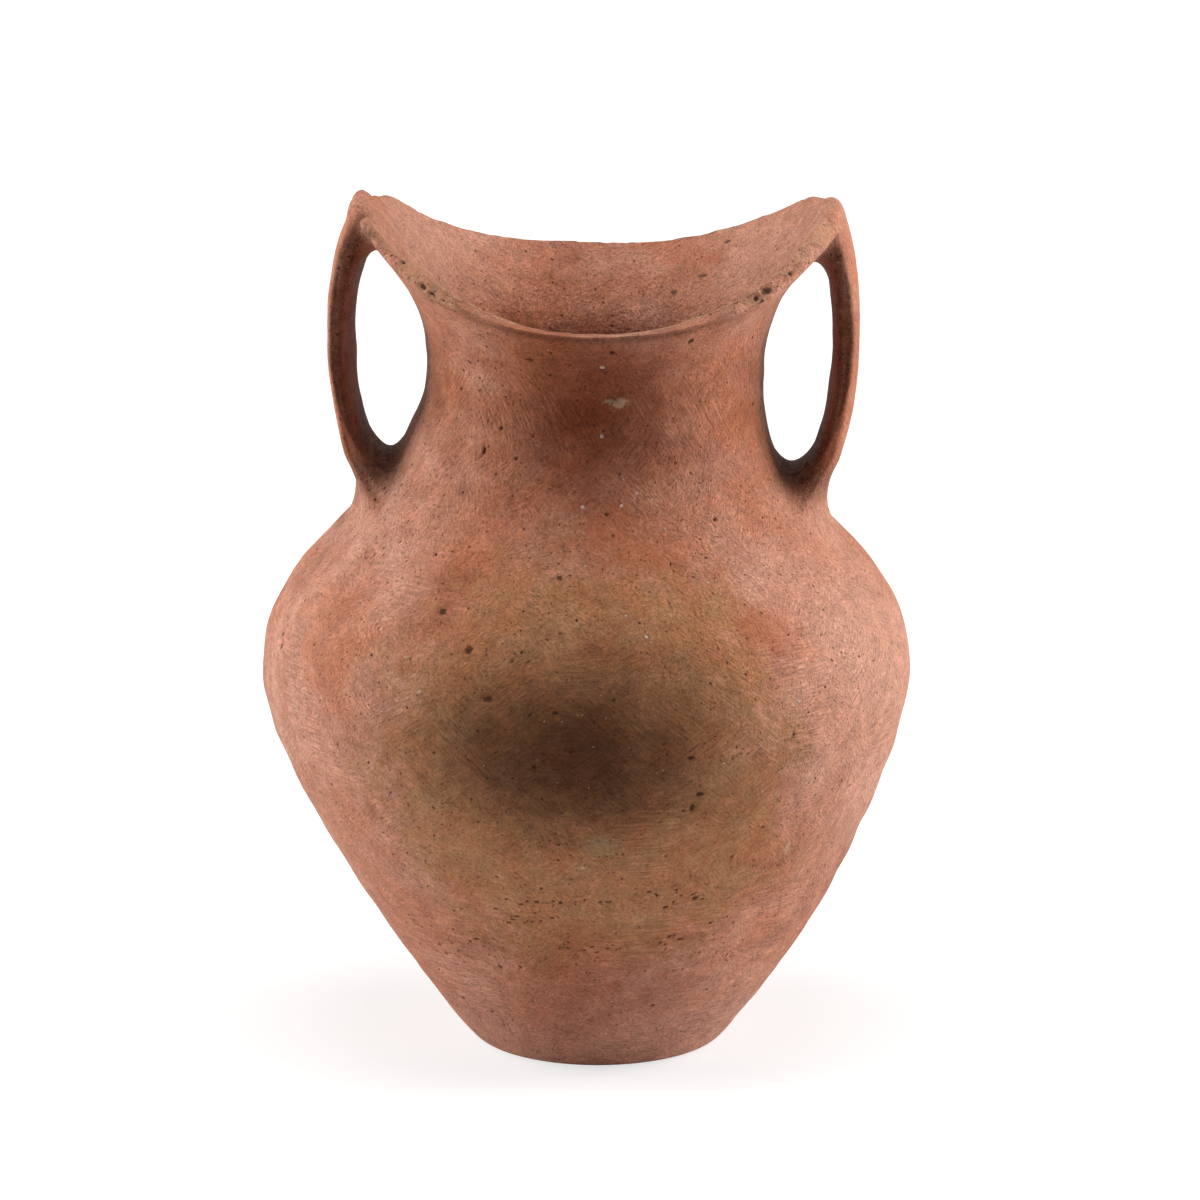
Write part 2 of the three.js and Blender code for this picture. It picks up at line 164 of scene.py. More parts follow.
class JarHandleSizes(bpy.types.PropertyGroup):
    """Sizes of the strap handles."""
    left_thickness: size("Left thickness", 0.0089, "Thickness of the left strap at its middle")
    right_thickness: size("Right thickness", 0.0105, "Thickness of the right strap at its middle")
    top_thickness: size("Top thickness", 0.0216, "Thickness at the root under the lip")
    foot_thickness: size("Foot thickness", 0.0136, "Thickness at the root on the shoulder")
    top_width: size("Top width", 0.042, "Width at the lip")
    waist_width: size("Waist width", 0.035, "Width at the middle")
    foot_width: size("Foot width", 0.042, "Width at the shoulder")
    squareness: share("Squareness", 2.3, "Flatness of the strap's oval section")
    edge_shift: share("Edge shift", 0.10, "Shift of the strap's edges towards its outer face")
    left_yaw: slope("Left yaw", 7, "Turn of the left strap seen from above")
    right_yaw: slope("Right yaw", 2.5, "Turn of the right strap seen from above")
    left_top_root: spot("Left top root", 0.0876, 0.3411, "Start of the left strap in the lip")
    left_upper_bow: spot("Left upper bow", 0.1115, 0.3165, "Pull on the upper half of the left strap")
    left_lower_bow: spot("Left lower bow", 0.1020, 0.2421, "Pull on the lower half of the left strap")
    left_foot_root: spot("Left foot root", 0.0867, 0.2285, "End of the left strap in the shoulder")
    right_top_root: spot("Right top root", 0.0858, 0.3402, "Start of the right strap in the lip")
    right_upper_bow: spot("Right upper bow", 0.1062, 0.3262, "Pull on the upper half of the right strap")
    right_lower_bow: spot("Right lower bow", 0.1020, 0.2370, "Pull on the lower half of the right strap")
    right_foot_root: spot("Right foot root", 0.0800, 0.2230, "End of the right strap in the shoulder")
    left_top_web: size("Left top web", 0.0125, "Clay in the left corner under the lip")
    right_top_web: size("Right top web", 0.0150, "Clay in the right corner under the lip")
    foot_web: size("Foot web", 0.0158, "Clay in the corner on the shoulder")
    ridge_web: size("Ridge web", 0.0040, "Clay under the lip beside the outer face")
    ridge_run: size("Ridge run", 0.0105, "Distance from the lip at which the outer face turns over it")
    ridge_full: share("Ridge fullness", 0.74, "How far the outer face keeps its line before the turn")
    left_ridge: size("Left ridge", 0.0053, "Height of the left ridge above the lip")
    right_ridge: size("Right ridge", 0.0020, "Height of the right ridge above the lip")
    groove: size("Groove", 0.0012, "Depth of the groove along the strap's edges")
    outer_web: size("Outer web", 0.0205, "Clay round the outer side of the foot")


class JarClayFinish(bpy.types.PropertyGroup):
    """Colours of the fired clay."""
    clay: tint("Clay", 186, 121, 90, "Main terracotta")
    # Also painted as light on the foot and, in part, on the right shoulder
    pale: tint("Pale clay", 206, 153, 130, "Pinkish patches")
    red: tint("Red clay", 172, 92, 54, "Orange-red patches")
    # At the front of the neck it is partly painted shade
    brown: tint("Brown clay", 116, 52, 24, "Brown patches and the front of the neck")
    bloom: tint("Bloom", 150, 98, 86, "Greyish purple smudges")
    ochre: tint("Ochre", 168, 121, 82, "Halo round the smoke mark")
    smoke: tint("Smoke", 74, 38, 12, "Smoke mark from the fire")
    sandy: tint("Bare clay", 194, 148, 118, "Unburnished clay in chips and on the lip")
    slate: tint("Slate", 104, 76, 58, "Dark flaked patches inside the mouth")
    # Also the painted highlight line along the lip's inner edge
    lime_and_highlight: tint("Lime and highlight", 205, 184, 150, "Pale deposits and mineral grains")
    film: tint("Film", 152, 132, 96, "Thin deposit below the smoke mark")
    # Dark tint of pits and dirt, also painted as shade in the handles' corners, under the lip and on the straps' inner
    # faces
    soot_and_shade: tint("Soot and shade", 45, 20, 11, "Dirt in pits and corners")


class JarStageSettings(bpy.types.PropertyGroup):
    """Camera, floor and lamps."""
    camera_distance: size("Camera distance", 3.0, "Distance from the camera to the jar's axis")
    camera_height: slope("Camera height", 14.8, "Angle of the camera above the floor")
    target_across: size("Target across", 0.0008, "Sideways place that the camera looks at")
    target_height: size("Target height", 0.180, "Height that the camera looks at")
    frame_width: size("Frame width", 0.48, "Width of the picture at the jar's axis")
    floor_side: size("Floor side", 14.0, "Side of the pale floor")
    side_power: FloatProperty(name="Side lamps", description="Power of each side lamp", default=28, unit="POWER")
    top_power: FloatProperty(name="Top lamp", description="Power of the lamp above", default=18.5, unit="POWER")
    sky: share("Sky", 0.06, "Strength of the even light from all round")


class PotteryJarSettings(bpy.types.PropertyGroup):
    """All settings of the jar."""
    body: PointerProperty(type=JarBodySizes)
    mouth: PointerProperty(type=JarMouthSizes)
    handle: PointerProperty(type=JarHandleSizes)
    finish: PointerProperty(type=JarClayFinish)
    stage: PointerProperty(type=JarStageSettings)


# Marks seen on the clay: column and row in the photograph, in pixels, and width, height and depth in millimetres.
# A negative depth stands proud of the wall.
Mark = namedtuple("Mark", "look sheet column row width height depth")
MARKS = tuple(Mark(look, sheet, *mark) for look, sheet, marks in (
    ("hollow", OUTER, (
        (469, 650, 2.0, 2.4, 0.9), (488, 699, 2.6, 1.8, 0.6), (442, 613, 1.8, 2.0, 0.6), (556, 714, 1.6, 1.3, 0.7),
        (534, 766, 1.4, 2.0, 0.7), (745, 674, 1.3, 1.3, 0.5), (715, 520, 1.4, 1.4, 0.8), (691, 759, 2.4, 1.6, 0.7),
        (700, 795, 2.6, 1.4, 0.8), (692, 808, 1.5, 2.4, 0.7), (664, 743, 1.2, 1.2, 0.5), (694, 899, 2.0, 1.4, 0.6),
        (666, 908, 1.8, 1.2, 0.5), (560, 904, 1.4, 1.2, 0.5), (501, 428, 1.2, 1.4, 0.6), (484, 453, 1.4, 2.4, 0.7),
        (607, 515, 1.6, 1.2, 0.5), (559, 578, 1.3, 1.3, 0.6), (528, 360, 3.2, 1.2, 0.4), (690, 342, 1.2, 2.6, 0.5))),
    ("hollow", INNER, ((398, 237, 1.0, 3.2, 0.5),)),
    ("hollow", LIP, ((403, 262, 1.2, 1.0, 0.6), (809, 262, 1.0, 1.4, 0.5), (790, 274, 1.0, 1.2, 0.5))),
    ("bare", LIP, ((434, 295, 8.0, 3.8, 1.2), (753, 300, 6.5, 3.6, 1.3), (362, 216, 6.0, 8.0, 0.4),
                   (404, 268, 4.0, 4.0, 0.5))),
    ("slate", LIP, ((421, 287, 2.6, 2.4, 1.6), (431, 292, 1.6, 1.5, 1.0), (442, 300, 1.2, 1.0, 0.8),
                    (767, 291, 2.8, 2.3, 1.6), (757, 297, 1.6, 1.6, 1.0))),
    ("slate", INNER, ((727, 242, 3.2, 1.6, 0.4), (703, 274, 3.6, 1.8, 0.5), (674, 292, 2.4, 1.6, 0.3))),
    ("lime_and_highlight", OUTER, ((619, 405, 4.6, 3.2, -0.9), (609, 402, 4.6, 1.8, -0.3), (788, 849, 2.6, 5.0, 0.0),
                     (381, 630, 1.3, 1.6, -0.1), (406, 658, 1.6, 1.2, -0.1))),
    ("rub", INNER, ((713, 258, 9.0, 4.0, 0.0),)),
    ("rub", OUTER, ((608, 535, 14.0, 15.0, 0.0), (764, 632, 18.0, 15.0, 0.0), (640, 556, 20.0, 9.0, 0.0))),
) for mark in marks)

# A mark's area in its own sizes: how far it is worked out, and from where to where it fades
MARK_REACH = 1.7
MARK_FADE = (0.20, 1.15)
MARK_ROWS = 90

# Open joints between coils, seen as broken lines: first and last column, row, sag of the line, step from pit to pit
# and their scatter about the line, in pixels
Seam = namedtuple("Seam", "first last row sag step spread")
SEAMS = (
    Seam(520, 628, 904, -3, 8, 1.5), Seam(488, 560, 912, 5, 4, 7), Seam(560, 624, 947, 4, 4, 4),
    Seam(660, 692, 944, -5, 5, 4), Seam(434, 482, 942, 8, 6, 7), Seam(640, 706, 897, -5, 9, 4),
)

# Pits of the joints and loose pits: how many, and their sizes in millimetres
SEAM_OPEN = 0.6
SEAM_WIDTHS, SEAM_HEIGHTS, SEAM_DEPTH = (0.7, 1.7), (0.5, 0.9), 0.4
LOOSE_PITS = 120
PIT_WIDTH, PIT_GROWTH, PIT_SHAPES, PIT_DEPTH = 0.65, 0.75, (0.7, 1.6), 0.55
PIT_SEED = 5

# Dirt and painted shade in the corners of the handles: above the wads' middles, how far it reaches and how full it is
CORNER_LIFT = np.array((0, 0, 5)) * MM
CORNER_REACH = np.array((13, 28, 10.5)) * MM
CORNER_FULL = 1.4

# Layers of hand-made lumps: width in millimetres, amount (in millimetres where it is a height) and seed
HAND_LUMPS = ((62, 0.75, 1), (27, 0.30, 2), (11, 0.16, 3), (5.5, 0.10, 4), (3.2, 0.05, 9))
RIPPLE_DRIFT, RIPPLE_LUMPS = ((70, 1.6, 5),), ((90, 0.45, 6),)
LIP_LUMPS = ((2.6, 0.16, 7), (7, 0.22, 8))
RAGGED_LUMPS = ((1.7, 0.30, 11), (4, 0.25, 12))
WORN_LUMPS = ((13, 0.75, 14), (5, 0.4, 16))
STAIN_LUMPS = ((6, 0.5, 17),)
SLAB_LUMPS, UNDERSIDE_LUMPS = ((16, 0.7, 21), (6, 0.2, 22)), ((9, 0.25, 23),)
STRAP_LUMPS, GROOVE_LUMPS = ((30, 0.55, 31), (12, 0.28, 32), (5, 0.09, 33)), ((14, 0.4, 34),)

# Working steps of the meshes
COLUMNS = 900
COIL_ROWS = 22
FOOT_ROWS = 4
EDGE_ROWS = 6
TAIL_ROWS = 8
FLARE_ROWS = 46
OUTER_EDGE_ROWS = 6
LIP_ROWS = 7
INNER_EDGE_ROWS = 5
INNER_FLARE_ROWS = 34
INNER_STEP = 3.2 * MM
OUTLINE_STEPS = 1500
STRAP_ROWS = 140
STRAP_SIDES = 72
ROOT_ROWS = 8
ROOT_STEP = 2 * MM
WEB_STEPS = 12
MOUTH_ROWS = 4
RIDGE_LINES = 4
SINK = 0.35 * MM
CLOSE_GAP = 1e-6
BAND_MARGIN = 0.012

# Numbers that stir the whole-number places of a lattice into chance values
LATTICE_STEPS = (73856093, 19349663, 83492791)
LATTICE_STIRS = ((13, 1274126177), (15, 2246822519))
LATTICE_WORD, LATTICE_TAIL = 0xFFFFFFFF, 0xFFFF
SEED_STEP = np.array((3.1, 7.7, 5.3))

made = {}


def smooth(value, low, high):
    """Rises softly from 0 at low to 1 at high."""
    part = np.clip((value - low) / (high - low), 0, 1)
    return part * part * (3 - 2 * part)


def mix(low, high, part):
    return low + (high - low) * part


def bell(value, width):
    """1 at 0, falling softly to nothing on both sides."""
    return np.exp(-(value / width) ** 2)


def near_to(points, centre, reach):
    """1 at a centre, falling softly to nothing over a reach along each axis."""
    return np.exp(-(((points - centre) / reach) ** 2).sum(-1))


def unit(vectors):
    return vectors / np.maximum(np.linalg.norm(vectors, axis=-1, keepdims=True), 1e-12)


def lattice(cell):
    """A repeatable value from -1 to 1 for each whole-number place."""
    across, along, up = (cell[..., axis] * step for axis, step in enumerate(LATTICE_STEPS))
    stirred = across ^ along ^ up
    for shift, factor in LATTICE_STIRS:
        stirred = ((stirred ^ (stirred >> shift)) * factor) & LATTICE_WORD
    return (stirred & LATTICE_TAIL) / (LATTICE_TAIL / 2) - 1


def lumps(points, width, seed):
    """Soft bumps between -1 and 1, about one to each width."""
    place = points / width + SEED_STEP * seed
    cell = np.floor(place).astype(np.int64)
    part = place - cell
    ease = part ** 3 * (part * (part * 6 - 15) + 10)
    total = np.zeros(points.shape[:-1])
    for corner in range(8):
        offset = np.array([(corner >> axis) & 1 for axis in range(3)])
        weight = np.prod(np.where(offset == 1, ease, 1 - ease), axis=-1)
        total += weight * lattice(cell + offset)
    return total


def layers(points, table):
    """Sum of layers of lumps: each has a width in millimetres, an amount and a seed."""
    return sum(lumps(points, width * MM, seed) * amount for width, amount, seed in table)


def bezier(points, steps):
    part = np.linspace(0, 1, steps)[:, None]
    first, second, third, last = (np.array(point, float) for point in points)
    return ((1 - part) ** 3 * first + 3 * (1 - part) ** 2 * part * second
            + 3 * (1 - part) * part ** 2 * third + part ** 3 * last)


def even(path, steps):
    """Points spaced evenly along a line."""
    length = np.concatenate(((0,), np.cumsum(np.linalg.norm(np.diff(path, axis=0), axis=1))))
    stops = np.linspace(0, length[-1], steps)
    return np.stack([np.interp(stops, length, path[:, axis]) for axis in range(3)], axis=-1)


# Bands over which the lip changes on its way round the jar
PEAK_TOP = (0.78, 1.0)
LOW_BACK = (0.3, 0.9)
LEVEL_FRONT = (0.72, 0.97)
SWELL_SIDE, SWELL_FRONT = (0.50, 0.80), (-0.05, 0.25)
THIN_START, THIN_STOP = (0.12, 0.26), (0.50, 0.66)
# Bands over which the wall changes on its way up the flare
THIN_RISE, SWELL_RISE, LEVEL_RISE = (0.3, 1.0), (0.4, 0.95), (0.45, 1.0)
# Widths of the back's tilt, the lip's turn at the left and its reach at the right
TILT_WIDTH, TURN_WIDTH, REACH_WIDTH = 0.45, 0.55, 0.75
LEVEL_SHARP = 0.6


class JarForm:
    """The smooth form of the wall: outline, lean, saddle and flare."""

    def __init__(self, jar):
        body, mouth = jar.body, jar.mouth
        self.body, self.mouth = body, mouth
        self.neck_height = body.belly_height + body.neck_rise
        belly = (body.belly_radius, body.belly_height)
        below = bezier(((body.foot_radius, 0),
                        (body.foot_radius + body.foot_flare * body.foot_sweep, body.foot_sweep),
                        (belly[0], belly[1] - body.sweep_below), belly), OUTLINE_STEPS)
        above = bezier((belly, (belly[0], belly[1] + body.sweep_above),
                        (body.neck_radius, self.neck_height - body.neck_sweep),
                        (body.neck_radius, self.neck_height)), OUTLINE_STEPS)
        self.line = np.concatenate((below, above[1:]))
        steps = np.linalg.norm(np.diff(self.line, axis=0), axis=1)
        self.lengths = np.concatenate(((0,), np.cumsum(steps)))
        self.slopes = unit(np.gradient(self.line, self.lengths, axis=0))
        self.body_length = self.lengths[-1]
        self.rim_start = self.body_length - body.rim_tail
        self.coil_pitch = self.rim_start / body.coils
        self.top = self.body_length + mouth.lip_rise

    def lean(self, height):
        """Sideways shift of the axis at a height."""
        body = self.body
        bulge = body.belly_lean * smooth(height, body.lean_start, body.lean_full)
        fade = smooth(height, self.neck_height - body.lean_fade, self.neck_height)
        back = 1 - smooth(height, self.neck_height, self.neck_height + self.mouth.lip_rise)
        return mix(bulge, body.neck_lean * back, fade)

    def lip_at(self, angle):
        """Radius, height and curl of the lip at an angle round the jar."""
        mouth = self.mouth
        along, toward_back = np.cos(angle), np.sin(angle)
        rise = np.where(along < 0, mouth.left_peak, mouth.right_peak)
        pinch = np.abs(toward_back) ** mouth.squareness
        back_dip = np.where(along < 0, mouth.left_back_dip, mouth.right_back_dip)
        dip = np.where(toward_back > 0, back_dip, mouth.front_dip)
        high = np.abs(along) ** dip
        high = high - mouth.peak_flat * smooth(high, *PEAK_TOP)
        height = self.neck_height + mouth.lip_rise + rise * high
        height = height + mouth.front_raise * self.level_cut(angle)
        tilt = mouth.back_tilt * along * bell(along, TILT_WIDTH)
        height = height + (mouth.back_raise - tilt) * smooth(toward_back, *LOW_BACK)
        left_off = angle % FULL_TURN - math.pi
        right_off = (angle + math.pi) % FULL_TURN - math.pi
        radius = mix(mouth.side_radius, mouth.front_radius, pinch)
        radius = radius + mouth.left_turn * left_off * bell(left_off, TURN_WIDTH)
        radius = radius + mouth.right_out * bell(right_off, REACH_WIDTH)
        return radius, height, mix(mouth.side_flare, mouth.front_flare, pinch)

    def level_cut(self, angle):
        """Share of the lip's face that is cut level, at the front only."""
        return smooth(-np.sin(angle), *LEVEL_FRONT)

    def swell(self, angle):
        """Thickening of the lip on its outer side at the front quarters."""
        amount = np.where(np.cos(angle) < 0, self.mouth.left_swell, self.mouth.right_swell)
        side = smooth(np.abs(np.cos(angle)), *SWELL_SIDE)
        return amount * side * smooth(-np.sin(angle), *SWELL_FRONT)

    def thinning(self, angle):
        """Share of the thickness that the lip loses between the left handle and the front."""
        front = -np.sin(angle)
        between = smooth(front, *THIN_START) * (1 - smooth(front, *THIN_STOP))
        return np.where(np.cos(angle) < 0, self.mouth.left_thin * between, 0)

    def thickness(self, length):
        return mix(self.body.wall, self.mouth.lip, smooth(length, self.body_length, self.top))

    def wall(self, length, depth, drop, angle):
        """Points of the wall: length up the outer outline, depth into the clay, drop back down the outline."""
        length, depth, drop, angle = np.broadcast_arrays(length, depth, drop, angle)
        radius, height, out, up = (np.interp(length, self.lengths, values)
                                   for values in (*self.line.T, *self.slopes.T))
        part = np.clip((length - self.body_length) / self.mouth.lip_rise, 0, 1)
        lip_radius, lip_height, curl = self.lip_at(angle)
        flared = part > 0
        spread, climb = lip_radius - self.body.neck_radius, lip_height - self.neck_height
        radius = np.where(flared, self.body.neck_radius + spread * part ** curl, radius)
        height = np.where(flared, self.neck_height + climb * part, height)
        flare_out = spread * curl * np.maximum(part, 1e-6) ** (curl - 1)
        run = np.hypot(flare_out, climb)
        out = np.where(flared, flare_out / run, out)
        up = np.where(flared, climb / run, up)
        lean, level = self.lean(height), self.level_cut(angle)
        depth = depth * (1 - self.thinning(angle) * smooth(part, *THIN_RISE))
        depth = depth - self.swell(angle) * smooth(part, *SWELL_RISE) * (1 - depth / self.thickness(length))
        slide = np.maximum(depth, 0) * out / up * level * smooth(part, *LEVEL_RISE)
        drop = drop * (1 - LEVEL_SHARP * level) + np.where(flared, slide, 0)
        radius = radius - depth * up - drop * out
        height = height + depth * out - drop * up
        return np.stack((lean + radius * np.cos(angle), radius * np.sin(angle), height), axis=-1)


def photo_pixels(points, stage):
    """Where points of the jar fall in the photograph, in pixels."""
    sine, cosine = math.sin(stage.camera_height), math.cos(stage.camera_height)
    rise = points[..., 2] - stage.target_height
    depth = points[..., 1] * cosine - rise * sine
    scale = stage.camera_distance / (stage.camera_distance + depth) * PHOTO_SIDE / stage.frame_width
    across = (points[..., 0] - stage.target_across) * scale
    up = (points[..., 1] * sine + rise * cosine) * scale
    return np.stack((PHOTO_SIDE / 2 + across, PHOTO_SIDE / 2 - up), axis=-1)


# How late the wall turns into the lip's edges, and the mark of a row that follows the outline
EDGE_TURN = 8
ON_OUTLINE = -1
# Lowest row inside the foot, and rows below the lip that stay clear of pits
SEAT_LIFT = 0.5 * MM
CLEAR_ROWS = 6
# Ripple of the coils, hollow line under the front of the lip with its painted shadow and dirt, and the still foot, in
# metres
RIPPLE, RIPPLE_BASE = 0.32 * MM, 0.55
HOLLOW_DROP, HOLLOW_WIDTH, HOLLOW_DEPTH, UNDER_LIP_SHADE_AND_DIRT = 2.0 * MM, 1.5 * MM, 0.5 * MM, 0.62
STILL_FOOT = (0.5 * MM, 9 * MM)
# Wear of the lip: on its face, from the front to the handles, and on the edges of the wall; a painted highlight on
# its inner rim and a painted highlight line along its inner edge
WORN_BASE, WORN_FRONT, WORN_SIDE = 0.44, 0.75, (0.35, 0.75)
RIM_START, RIM_FULL, RIM_BASE, RIM_PATCHY = 1.5 * MM, 0.5 * MM, 0.75, 0.35
HIGHLIGHT_DROP, HIGHLIGHT_WIDTH = 0.4 * MM, 0.5 * MM
EDGE_RUN, OUTER_WEAR, INNER_WEAR = 4 * MM, 0.8, 0.25
# Stain on the lip between the left handle and the front
STAIN_START, STAIN_STOP, STAIN_BASE = (0.08, 0.20), (0.34, 0.56), 0.42


class JarSkin:
    """A grid of points over the wall: under the foot, up the outside, over the lip and down the inside."""

    def __init__(self, jar):
        self.form = JarForm(jar)
        self.angle = np.arange(COLUMNS) / COLUMNS * FULL_TURN
        self.lay_rows(jar)
        self.points = self.smooth_points()
        self.work_clay()
        self.mark_clay(jar.stage)
        self.normals = self.facing()

    def lay_rows(self, jar):
        """Lists every row: its sheet, place on the outline, depth, drop and, off the outline, its own place."""
        form, body, mouth = self.form, jar.body, jar.mouth
        rows = []

        def lay(sheet, length, depth=0, drop=0, radius=ON_OUTLINE, height=0):
            rows.append((sheet, length, depth, drop, radius, height))

        out, up = form.slopes[0]
        self.seat_radius = body.foot_radius - body.wall / up
        self.seat_run = out / up
        corner = np.array((body.foot_radius, 0))
        start = np.array((body.foot_radius - body.foot_round, 0))
        finish = np.array([np.interp(body.foot_round, form.lengths, form.line[:, axis]) for axis in range(2)])
        for part in np.linspace(0, 1, FOOT_ROWS, endpoint=False):
            lay(OUTER, 0, radius=mix(self.seat_radius, start[0], part))
        for part in np.linspace(0, 1, EDGE_ROWS, endpoint=False):
            radius, height = (1 - part) ** 2 * start + 2 * part * (1 - part) * corner + part ** 2 * finish
            lay(OUTER, 0, radius=radius, height=height)
        self.outer_joints = [0]
        for coil in range(body.coils):
            low = body.foot_round if coil == 0 else coil * form.coil_pitch
            for length in np.linspace(low, (coil + 1) * form.coil_pitch, COIL_ROWS, endpoint=False):
                lay(OUTER, length)
            self.outer_joints.append(len(rows))
        for length in np.linspace(form.rim_start, form.body_length, TAIL_ROWS, endpoint=False):
            lay(OUTER, length)
        for part in np.linspace(0, 1, FLARE_ROWS):
            lay(OUTER, form.body_length + mouth.lip_rise * part, drop=mouth.outer_edge * part ** EDGE_TURN)
        self.last_outer = len(rows) - 1
        for turn in np.linspace(0, math.pi / 2, OUTER_EDGE_ROWS)[1:]:
            lay(LIP, form.top, mouth.outer_edge * (1 - math.cos(turn)), mouth.outer_edge * (1 - math.sin(turn)))
        for depth in np.linspace(mouth.outer_edge, mouth.lip - mouth.inner_edge, LIP_ROWS)[1:-1]:
            lay(LIP, form.top, depth)
        for turn in np.linspace(math.pi / 2, 0, INNER_EDGE_ROWS)[:-1]:
            lay(LIP, form.top, mouth.lip - mouth.inner_edge * (1 - math.cos(turn)),
                mouth.inner_edge * (1 - math.sin(turn)))
        for part in np.linspace(1, 0, INNER_FLARE_ROWS):
            length = form.body_length + mouth.lip_rise * part
            lay(INNER, length, form.thickness(length), mouth.inner_edge * part ** EDGE_TURN)
        bottom = body.slab / up - body.wall * out / up
        self.inner_joints = {}
        high = form.body_length
        for joint in range(body.coils, -1, -1):
            low = max(joint * form.coil_pitch + body.joint_rise, bottom) if joint else bottom
            steps = max(1, math.ceil((high - low) / INNER_STEP))
            for length in np.linspace(high, low, steps + 1)[1:]:
                lay(INNER, length, body.wall)
            self.inner_joints[joint] = len(rows) - 1
            high = low
        for height in (body.slab / 2, SEAT_LIFT):
            lay(INNER, 0, radius=self.seat_radius + height * self.seat_run, height=height)
        table = np.array(rows, float)
        self.sheet = table[:, 0].astype(int)
        self.length, self.depth, self.drop, self.own_radius, self.own_height = table[:, 1:].T

    def smooth_points(self):
        points = self.form.wall(self.length[:, None], self.depth[:, None], self.drop[:, None], self.angle[None, :])
        own = self.own_radius > 0
        radius = self.own_radius[own][:, None]
        points[own] = np.stack((radius * np.cos(self.angle), radius * np.sin(self.angle),
                                np.broadcast_to(self.own_height[own][:, None], (own.sum(), COLUMNS))), axis=-1)
        return points

    def facing(self):
        """Normals of the grid, out of the clay."""
        around = np.roll(self.points, -1, axis=1) - np.roll(self.points, 1, axis=1)
        return unit(np.cross(around, np.gradient(self.points, axis=0)))

    def work_clay(self):
        """Hand-made unevenness: broad lumps, the ripple of the coils and the rough lip."""
        place, sheet = self.points, self.sheet[:, None]
        worked = layers(place, HAND_LUMPS) * MM
        ripple = np.sin(self.length[:, None] / self.form.coil_pitch * FULL_TURN + layers(place, RIPPLE_DRIFT))
        worked += ripple * (RIPPLE_BASE + layers(place, RIPPLE_LUMPS)) * RIPPLE * (sheet == OUTER)
        worked += np.where(sheet == LIP, layers(place, LIP_LUMPS) * MM, 0)
        hollow = bell(self.form.top - self.length - HOLLOW_DROP, HOLLOW_WIDTH)[:, None]
        self.under_lip = hollow * self.form.level_cut(self.angle)[None, :] * (sheet == OUTER)
        worked -= self.under_lip * HOLLOW_DEPTH
        worked *= smooth(place[..., 2], *STILL_FOOT) * (self.own_radius[:, None] < 0)
        self.points = place + self.facing() * worked[..., None]

    def mark_clay(self, stage):
        """Pits, chips, flakes and deposits, and the looks that go with them, with painted shade and painted
        highlights.
        """
        self.looks = {look: np.zeros(self.points.shape[:2]) for look in LOOKS}
        normals = self.facing()
        pixels = photo_pixels(self.points, stage)
        eye = np.array((stage.target_across, -stage.camera_distance * math.cos(stage.camera_height),
                        stage.target_height + stage.camera_distance * math.sin(stage.camera_height)))
        seen = np.einsum("rci,rci->rc", normals, eye - self.points) > 0
        self.ragged = layers(self.points, RAGGED_LUMPS)
        self.move = np.zeros(self.points.shape[:2])
        for mark in (*MARKS, *self.seam_marks()):
            reach = np.hypot(pixels[..., 0] - mark.column, pixels[..., 1] - mark.row)
            reach = np.where(seen & (self.sheet == mark.sheet)[:, None], reach, np.inf)
            self.press(mark, *np.unravel_index(np.argmin(reach), reach.shape))
        self.loose_pits()
        self.points = self.points + normals * self.move[..., None]
        self.lip_wear_and_highlight()
        self.paint_dirt_and_shade()

    def press(self, mark, row, column):
        """Presses one mark into the clay, or builds it up, round a point of the grid."""
        centre = self.points[row, column]
        span = MARK_REACH * max(mark.width, mark.height) * MM
        gap = np.linalg.norm(self.points[row + 1, column] - self.points[row - 1, column]) / 2
        tall = min(int(span / gap) + 2, MARK_ROWS)
        wide = min(int(span / (np.hypot(centre[0], centre[1]) * FULL_TURN / COLUMNS)) + 2, COLUMNS // 3)
        rows = np.arange(max(row - tall, 0), min(row + tall + 1, len(self.sheet)))
        here = np.ix_(rows, np.arange(column - wide, column + wide + 1) % COLUMNS)
        across = np.array((-math.sin(self.angle[column]), math.cos(self.angle[column]), 0))
        off = self.points[here] - centre
        side = off @ across
        rest = np.sqrt(np.maximum((off ** 2).sum(-1) - side ** 2, 0))
        far = np.hypot(side / (mark.width * MM), rest / (mark.height * MM)) * (1 + self.ragged[here])
        near = 1 - smooth(far, *MARK_FADE)
        near = near * (np.abs(self.sheet[rows] - mark.sheet) < (2 if mark.sheet == LIP else 1))[:, None]
        self.looks[mark.look][here] = np.maximum(self.looks[mark.look][here], near)
        self.move[here] -= near * mark.depth * MM

    def seam_marks(self):
        """Short pits in a row along each open joint."""
        chance = np.random.default_rng(PIT_SEED)
        marks = []
        for seam in SEAMS:
            for column in np.arange(seam.first, seam.last, seam.step):
                part = (column - seam.first) / (seam.last - seam.first)
                row = seam.row + seam.sag * math.sin(math.pi * part) + chance.uniform(-1, 1) * seam.spread
                width, height, kept = chance.uniform(*SEAM_WIDTHS), chance.uniform(*SEAM_HEIGHTS), chance.random()
                if kept < SEAM_OPEN:
                    marks.append(Mark("hollow", OUTER, column, row, width, height, SEAM_DEPTH))
        return marks

    def loose_pits(self):
        """Small pits left by lost grit, all over the outside."""
        chance = np.random.default_rng(PIT_SEED)
        rows = chance.integers(self.outer_joints[1], self.last_outer - CLEAR_ROWS, LOOSE_PITS)
        columns = chance.integers(0, COLUMNS, LOOSE_PITS)
        widths = PIT_WIDTH + PIT_GROWTH * chance.random(LOOSE_PITS) ** 3
        heights = widths * chance.uniform(*PIT_SHAPES, LOOSE_PITS)
        for row, column, width, height in zip(rows, columns, widths, heights):
            self.press(Mark("hollow", OUTER, None, None, width, height, PIT_DEPTH), row, column)

